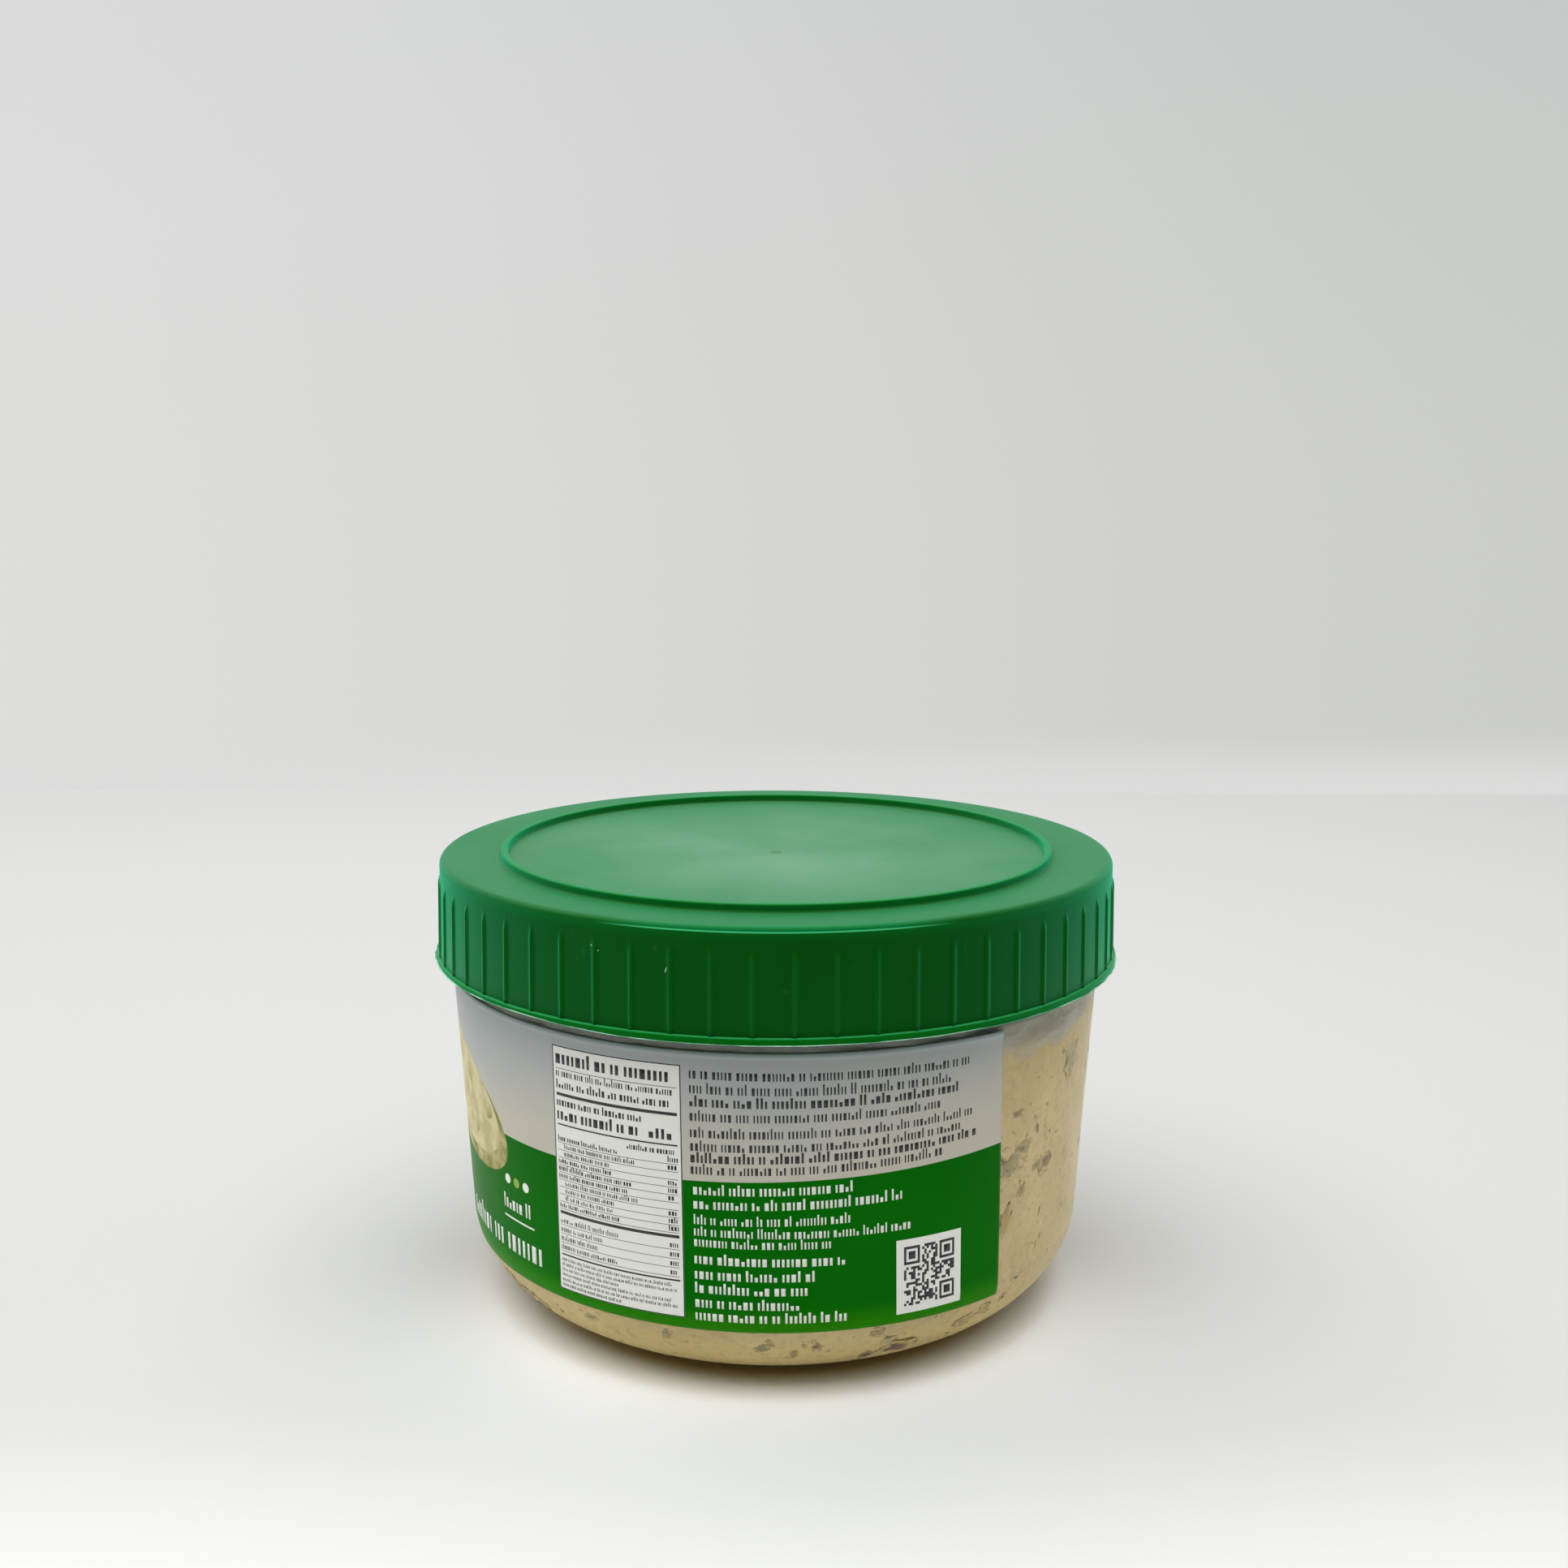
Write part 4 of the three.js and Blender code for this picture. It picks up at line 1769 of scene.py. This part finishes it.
@dataclass
class Cap:
    """The ribbed cap: a sunk top face with a raised ring, a skirt with grip ribs and a bead."""

    sizes: TubSizes
    edge_height: float = 15.9 * MM
    top_radius: float = 53.15 * MM
    skirt_foot: float = 53.45 * MM
    corner: float = 1.0 * MM
    corner_steps: int = 6
    dish: float = 1.05 * MM
    wall: float = 1.2 * MM
    bead_height: float = 1.0 * MM
    bead_inset: float = 0.27 * MM
    ring_outer: float = 43.75 * MM
    ring_inner: float = 42.6 * MM
    ring_rise: float = 1.15 * MM
    rib_count: int = 60
    rib_phase: float = math.radians(2.9)
    rib_proud: float = 0.30 * MM
    rib_half: float = 0.28 * MM
    rib_fade: tuple[float, float] = (13.4 * MM, 11.4 * MM)
    rib_columns: int = 14
    crowding: float = 0.86
    gate_radius: float = 1.1 * MM
    gate_depth: float = 0.35 * MM
    hem_lift: float = 0.36 * MM
    hem_height: float = 0.3 * MM
    hem_start: tuple[float, float] = (math.radians(-20), math.radians(-42))
    hem_end: tuple[float, float] = (math.radians(-170), math.radians(-110))

    def face(self, radius: float) -> float:
        """Height of the sunk top face over the cap's lower edge."""
        share = radius / (self.top_radius - self.corner)
        return self.edge_height - self.dish * (1 - share * share)

    def skirt(self, height: float) -> float:
        """Outside radius of the skirt at a height over the lower edge."""
        return self.skirt_foot + (self.top_radius - self.skirt_foot) * height / self.edge_height

    def top_corners(self) -> list[tuple[float, float, float]]:
        """The top face and its ring, from the outside in, as corners for rounding.

        Returns:
            Radius, height and rounding of each corner.
        """
        gate_edge = self.face(0.0)
        beside = 1.2 * MM
        rim_radii = spaced(50.5 * MM, self.ring_outer + beside, 3)
        flat = [(radius, self.face(radius), 0.0) for radius in rim_radii]
        crest = self.face(self.ring_outer) + self.ring_rise
        ring = [
            (self.ring_outer + 0.05 * MM, self.face(self.ring_outer), 0.35 * MM),
            (self.ring_outer - 0.05 * MM, crest, 0.3 * MM),
            (self.ring_inner + 0.05 * MM, crest, 0.3 * MM),
            (self.ring_inner - 0.05 * MM, self.face(self.ring_inner), 0.35 * MM),
        ]
        disc_radii = spaced(self.ring_inner - beside, 2.4 * MM, 12)
        inner = [(radius, self.face(radius), 0.0) for radius in disc_radii]
        gate = [
            (self.gate_radius * 1.3, gate_edge, 0.0),
            (self.gate_radius, gate_edge - 0.05 * MM, 0.0),
            (self.gate_radius * 0.6, gate_edge - self.gate_depth, 0.0),
            (self.gate_radius * 0.25, gate_edge - self.gate_depth * 0.8, 0.0),
            (0.0, gate_edge - self.gate_depth * 0.7, 0.0),
        ]
        return [*flat, *ring, *inner, *gate]

    def outline(self) -> Outline:
        """The cap's section, from the middle of its underside, round the skirt, to the middle on top.

        Returns:
            Points of radius and height.
        """
        inner_top = self.top_radius - self.wall
        under_radii = spaced(0.0, inner_top - 1.0 * MM, 5)
        underside = [(radius, self.face(radius) - self.wall, 0.0) for radius in under_radii]
        bead = self.sizes.bead - self.bead_inset
        fade_high, fade_low = self.rib_fade
        rows = [*spaced(2.2 * MM, 11.0 * MM, 6), *spaced(fade_low, fade_high, 6)]
        skirt_rows = [(self.skirt(height), height, 0.0) for height in rows]
        corners = [
            *underside,
            (inner_top, self.face(inner_top) - self.wall, 0.4 * MM),
            (self.skirt_foot - self.wall, 0.0, 0.2 * MM),
            (bead - 0.10 * MM, 0.0, 0.06 * MM),
            (bead, 0.12 * MM, 0.05 * MM),
            (bead - 0.06 * MM, self.bead_height - 0.14 * MM, 0.10 * MM),
            (self.skirt(self.bead_height), self.bead_height + 0.02 * MM, 0.05 * MM),
            *skirt_rows,
            (self.top_radius + 0.03 * MM, self.edge_height, self.corner),
            *self.top_corners(),
        ]
        shoulder = self.sizes.shoulder
        return [(radius, height + shoulder) for radius, height in rounded(corners, self.corner_steps)]

    def hem(self, turn: float) -> float:
        """How far the lower edge lifts at an angle round the tub; it does so only at the left."""
        near = smooth_step(*self.hem_start, turn)
        return self.hem_lift * near * smooth_step(*self.hem_end, turn)

    def rib_height(self, offset: float, height: float) -> float:
        """How far the skirt stands out because of a rib.

        Args:
            offset: distance round the skirt from the nearest rib's middle.
            height: height over the cap's lower edge.

        Returns:
            The height of the rib's surface over the skirt.
        """
        across = math.sqrt(max(0.0, 1 - (offset / self.rib_half) ** 2))
        return self.rib_proud * across * smooth_step(*self.rib_fade, height)

    def build(self) -> bpy.types.Object:
        """Makes the cap: one turned shell whose columns crowd at the ribs and step out there.

        Returns:
            The new object.
        """
        bm = spin_outline(self.outline(), self.rib_count * self.rib_columns)
        ledge = self.bead_height + 0.05 * MM
        # Each vertex's share of a rib's height, which the finish uses for the painted highlight on the
        # crests.
        layer = bm.verts.layers.float.new(CapPlastic().rib_map)
        for vert in bm.verts:
            radius = math.hypot(vert.co.x, vert.co.y)
            if radius < MERGE:
                continue
            turn = math.atan2(vert.co.x, -vert.co.y)
            sway = math.sin(self.rib_count * turn)
            turned = self.rib_phase + turn - self.crowding / self.rib_count * sway
            height = vert.co.z - self.sizes.shoulder
            outside = radius > self.skirt(height) - 0.2 * MM
            if outside and ledge < height < self.edge_height - self.corner:
                rib_turn = math.remainder(turned - self.rib_phase, math.tau / self.rib_count)
                stands = self.rib_height(rib_turn * radius, height)
                vert[layer] = stands / self.rib_proud
                radius += stands
            lift = self.hem(turned) if height < self.hem_height else 0.0
            vert.co = around(turned, radius, vert.co.z + lift)
        return finish_piece("ribbed_cap", bm, CapPlastic().build(), ["cap"])


@dataclass
class CapFlash:
    """The thin, uneven edge of plastic that stands out along the foot of the cap's bead."""

    cap: Cap
    thickness: float = 0.07 * MM
    depth: float = 0.45 * MM
    stand_out: float = 0.25 * MM
    sway: float = 0.05 * MM
    columns: int = 1440

    def build(self) -> bpy.types.Object:
        """Makes the edge.

        Returns:
            The new object.
        """
        sizes = self.cap.sizes
        tip = sizes.bead - self.cap.bead_inset - 0.02 * MM
        height = sizes.shoulder + 0.05 * MM
        section = [
            (tip - self.depth, height),
            (tip, height),
            (tip, height + self.thickness),
            (tip - self.depth, height + self.thickness),
        ]
        bm = spin_outline(section, self.columns, joined=True)
        for vert in bm.verts:
            radius = math.hypot(vert.co.x, vert.co.y)
            turn = math.atan2(vert.co.x, -vert.co.y)
            spot = Vector((math.sin(turn), math.cos(turn), 0.0))
            sway = self.sway * noise.noise(spot * 9.0) + self.cap.hem(turn)
            if radius > tip - 0.1 * MM:
                ragged = 0.72 + 0.5 * noise.noise(spot * 22.0) + 0.45 * noise.noise(spot * 110.0)
                radius = tip + self.stand_out * max(0.25, min(1.0, ragged))
            vert.co = around(turn, radius, vert.co.z + sway)
        return finish_piece("cap_flash", bm, FlashPlastic().build())


@dataclass
class CapNicks:
    """A few tiny raised nicks on the cap's skirt, paler than the plastic round them.

    Attributes:
        cap: the cap that they sit on.
        size: half the height of a whole nick.
        slim: its width and depth as a share of its height.
        spots: the angle in degrees, the height in millimetres and the share of a whole nick of each.
    """

    cap: Cap
    size: float = 0.40 * MM
    slim: float = 0.22
    spots: tuple[tuple[float, float, float], ...] = (
        (-15.64, 9.65, 1.0),
        (-27.6, 11.9, 0.40),
        (-26.4, 11.3, 0.22),
        (20.7, 11.7, 0.9),
    )

    def build(self) -> bpy.types.Object:
        """Makes the nicks.

        Returns:
            The new object.
        """
        bm = bmesh.new()
        for degrees, height, tall in self.spots:
            made = bmesh.ops.create_icosphere(bm, subdivisions=2, radius=1.0)["verts"]
            angle = math.radians(degrees)
            radius = self.cap.skirt(height * MM) + 0.02 * MM
            middle = around(angle, radius, self.cap.sizes.shoulder + height * MM)
            out = around(angle, 1.0, 0.0)
            side = around(angle + math.pi / 2, 1.0, 0.0)
            up = Vector((0.0, 0.0, 1.0)) + side * 0.3
            for vert in made:
                flat = vert.co * self.size
                vert.co = middle + side * flat.x * self.slim + up * flat.y * tall + out * flat.z * self.slim
        bmesh.ops.recalc_face_normals(bm, faces=bm.faces)
        finish = FlashPlastic("nick_plastic", (0.55, 0.75, 0.6), (0.3, 0.55, 0.38))
        return finish_piece("cap_nicks", bm, finish.build())


# ---- Stage, light and camera -------------------------------------------------------------------


@dataclass
class Studio:
    """Plain pale walls, a pale floor with painted light and shade round the tub, a soft lamp overhead and a
    camera in front, all outside the tub.
    """

    floor_reach: float = 3.0
    # Reach round the tub within which the floor is painted lighter, against the tub's shadow.
    foot_shade: float = 47.0 * MM
    sweep_foot: float = 0.485
    sweep_radius: float = 0.03
    sweep_height: float = 1.6
    room_reach: float = 0.75
    focal_pixels: float = 2155.0
    frame_pixels: float = 1932.0
    sensor_mm: float = 36.0
    camera_back: float = 275.4 * MM
    camera_side: float = 1.2 * MM
    camera_height: float = 126.9 * MM
    pitch: float = math.radians(9.59)
    roll: float = math.radians(0.17)
    lamp_side: float = -0.15
    lamp_height: float = 1.0
    lamp_size: tuple[float, float] = (1.5, 1.5)
    lamp_power: float = 22.0

    def floor_finish(self) -> bpy.types.Material:
        """A matt pale floor that throws little light back from the dark room in front. As the camera sees
        it, the floor is painted lighter in front and round the front of the tub, which paints out the tub's
        shadow there, and has a warm painted tint in the contact shadow under the tub's edge.

        Returns:
            The finished material.
        """
        bench = NodeBench("stage_floor")
        parts = bench.add("SeparateXYZ", Vector=bench.place())
        flat = bench.add("Mapping", Vector=bench.place(), Scale=(1.0, 1.0, 0.0)).outputs["Vector"]
        reach = bench.add("VectorMath", {"operation": "LENGTH"}, Vector=flat).outputs["Value"]
        bounce = bench.ramp(parts.outputs["Y"], -0.40, -0.12)
        bounce = bench.math("MULTIPLY", bounce, bench.ramp(reach, 0.30, 0.14, 0.12, 1.0))
        thrown = bench.mix(bounce, (0.08, 0.08, 0.08), (0.710, 0.700, 0.655))
        # Painted light: the floor lighter in front and round the front of the tub, against its shadow.
        ahead = bench.math("MULTIPLY", parts.outputs["Y"], -1.0)
        ahead = bench.math("ADD", ahead, bench.math("MULTIPLY", parts.outputs["X"], 0.05))
        front = bench.ramp(bench.math("DIVIDE", ahead, reach), -0.22, 0.92)
        close = bench.math("POWER", bench.math("DIVIDE", self.foot_shade, reach), 4.0)
        lifted = bench.math("MULTIPLY", bench.math("MINIMUM", close, 1.0), front)
        nearer = bench.ramp(parts.outputs["Y"], -0.045, -0.10)
        base = bench.mix(nearer, (0.438, 0.438, 0.438), (0.550, 0.550, 0.545))
        shown = bench.mix(lifted, base, (0.975, 0.99, 1.0))
        # Painted shadow: a warm, darker tint right under the tub's edge.
        painted_contact_tint = bench.math("MULTIPLY", bench.ramp(reach, 0.0415, 0.0380), front)
        shown = bench.mix(painted_contact_tint, shown, (0.66, 0.52, 0.24))
        seen = bench.add("LightPath").outputs["Is Camera Ray"]
        colour = bench.mix(seen, thrown, shown)
        shader = bench.add("BsdfPrincipled", Base_Color=colour, Roughness=0.9, Specular_IOR_Level=0.2)
        return bench.finish(shader)

    def sweep_finish(self) -> bpy.types.Material:
        """A pale evenly lit wall, a little darker towards the right and the top.

        Returns:
            The finished material.
        """
        bench = NodeBench("stage_backdrop")
        parts = bench.add("SeparateXYZ", Vector=bench.place())
        rightward = bench.ramp(parts.outputs["X"], -0.38, 0.40)
        low = bench.mix(rightward, (0.725, 0.73, 0.715), (0.60, 0.61, 0.59))
        high = bench.mix(rightward, (0.695, 0.69, 0.72), (0.52, 0.545, 0.54))
        colour = bench.mix(bench.ramp(parts.outputs["Z"], 0.10, 0.55), low, high)
        colour = bench.mix(bench.ramp(parts.outputs["Z"], 0.0, 0.025), (0.715, 0.715, 0.71), colour)
        return bench.finish(bench.add("Emission", Color=colour, Strength=1.0), "Emission")

    def floor(self) -> None:
        """The floor that the tub stands on."""
        bm = bmesh.new()
        bmesh.ops.create_grid(bm, x_segments=1, y_segments=1, size=self.floor_reach)
        make_object("floor", bm, self.floor_finish())

    def backdrop(self) -> None:
        """Plain walls round the tub, curved into the floor, which only the camera sees."""
        bm = bmesh.new()
        bmesh.ops.create_cube(bm, size=1.0)
        depth = self.room_reach + self.sweep_foot
        size = Vector((2 * self.room_reach, depth, self.sweep_height))
        bmesh.ops.scale(bm, verts=bm.verts, vec=size)
        middle = Vector((0.0, self.sweep_foot - depth / 2, self.sweep_height / 2))
        bmesh.ops.translate(bm, verts=bm.verts, vec=middle)
        sills = [edge for edge in bm.edges if all(vert.co.z < MERGE for vert in edge.verts)]
        bmesh.ops.bevel(
            bm, geom=sills, affect="EDGES", offset=self.sweep_radius, segments=16, profile=0.5, material=-1
        )
        level = [face for face in bm.faces if abs(face.normal.z) > 0.999]
        bmesh.ops.delete(bm, geom=level, context="FACES")
        backdrop = make_object("backdrop", bm, self.sweep_finish())
        backdrop.visible_diffuse = backdrop.visible_glossy = backdrop.visible_shadow = False
        backdrop.visible_transmission = False

    def lamp(self) -> None:
        """The soft lamp overhead, a little behind the tub and to its left."""
        data = bpy.data.lights.new("overhead_lamp", "AREA")
        data.shape = "RECTANGLE"
        data.size, data.size_y = self.lamp_size
        data.energy = self.lamp_power
        data.color = (1.0, 0.995, 0.97)
        lamp = bpy.data.objects.new("overhead_lamp", data)
        lamp.location = (self.lamp_side, 0.0, self.lamp_height)
        aim = Vector((self.lamp_side, 0.0, 0.0)) - lamp.location
        lamp.rotation_euler = aim.to_track_quat("-Z", "Y").to_euler()
        bpy.context.scene.collection.objects.link(lamp)

    def sky(self) -> None:
        """Soft light from all round: brightest behind and at the left, and dim in front."""
        world = bpy.data.worlds.new("studio_air")
        bpy.context.scene.world = world
        world.use_nodes = True
        nodes, links = world.node_tree.nodes, world.node_tree.links
        nodes.clear()
        output = nodes.new("ShaderNodeOutputWorld")
        coordinates = nodes.new("ShaderNodeTexCoord")
        parts = nodes.new("ShaderNodeSeparateXYZ")
        links.new(coordinates.outputs["Generated"], parts.inputs["Vector"])

        def ramp(axis: str, low: float, high: float, out_low: float, out_high: float) -> Socket:
            """A strength that follows one direction.

            Args:
                axis: the direction.
                low: where the strength starts to change.
                high: where it stops.
                out_low: the strength at low and beyond.
                out_high: the strength at high and beyond.

            Returns:
                The strength's socket.
            """
            node = nodes.new("ShaderNodeMapRange")
            node.interpolation_type = "SMOOTHSTEP"
            span = {"From Min": low, "From Max": high, "To Min": out_low, "To Max": out_high}
            for name, value in span.items():
                node.inputs[name].default_value = value
            links.new(parts.outputs[axis], node.inputs["Value"])
            return node.outputs["Result"]

        strength = nodes.new("ShaderNodeMath")
        strength.operation = "MULTIPLY"
        links.new(ramp("Y", -0.85, 0.30, 0.10, 0.80), strength.inputs[0])
        links.new(ramp("X", -0.9, 0.9, 1.12, 0.86), strength.inputs[1])
        lifted = nodes.new("ShaderNodeMath")
        lifted.operation = "MULTIPLY"
        links.new(strength.outputs["Value"], lifted.inputs[0])
        links.new(ramp("Z", 0.0, 0.35, 0.68, 1.0), lifted.inputs[1])
        light = nodes.new("ShaderNodeBackground")
        light.inputs["Color"].default_value = (0.97, 1.0, 1.0, 1.0)
        links.new(lifted.outputs["Value"], light.inputs["Strength"])
        seen = nodes.new("ShaderNodeBackground")
        seen.inputs["Color"].default_value = (0.70, 0.72, 0.71, 1.0)
        rays = nodes.new("ShaderNodeLightPath")
        chosen = nodes.new("ShaderNodeMixShader")
        links.new(rays.outputs["Is Camera Ray"], chosen.inputs["Fac"])
        links.new(light.outputs["Background"], chosen.inputs[1])
        links.new(seen.outputs["Background"], chosen.inputs[2])
        links.new(chosen.outputs["Shader"], output.inputs["Surface"])

    def camera(self) -> None:
        """The camera, a little over the cap's height and looking slightly down."""
        data = bpy.data.cameras.new("camera")
        data.sensor_width = self.sensor_mm
        data.lens = self.sensor_mm * self.focal_pixels / self.frame_pixels
        data.clip_start = 0.01
        camera = bpy.data.objects.new("camera", data)
        camera.location = (self.camera_side, -self.camera_back, self.camera_height)
        tilt = Matrix.Rotation(math.pi / 2 - self.pitch, 4, "X") @ Matrix.Rotation(self.roll, 4, "Z")
        camera.rotation_euler = tilt.to_euler()
        bpy.context.scene.collection.objects.link(camera)
        bpy.context.scene.camera = camera

    def build(self) -> None:
        """Sets up the stage, the light and the camera."""
        self.camera()
        self.floor()
        self.backdrop()
        self.sky()
        self.lamp()
        bpy.context.scene.view_settings.view_transform = "Standard"


# ---- Main --------------------------------------------------------------------------------------


def main() -> None:
    """Builds the stage and the tub, piece by piece."""
    logging.basicConfig(level=logging.INFO, format="%(name)s: %(message)s")
    sizes = TubSizes.from_frame()
    wall_line = WallLine(shoulder=sizes.shoulder, neck=sizes.neck)
    Studio().build()
    Halva(sizes, wall_line).build()
    NutPieces(wall_line).build()
    SealFilm(wall_line).build()
    Cup(sizes, wall_line).build()
    sheet = LabelSheet(sizes, wall_line)
    sheet.build()
    LabelPrint(sheet).build()
    cap = Cap(sizes)
    cap.build()
    CapFlash(cap).build()
    CapNicks(cap).build()


if __name__ == "__main__":
    main()
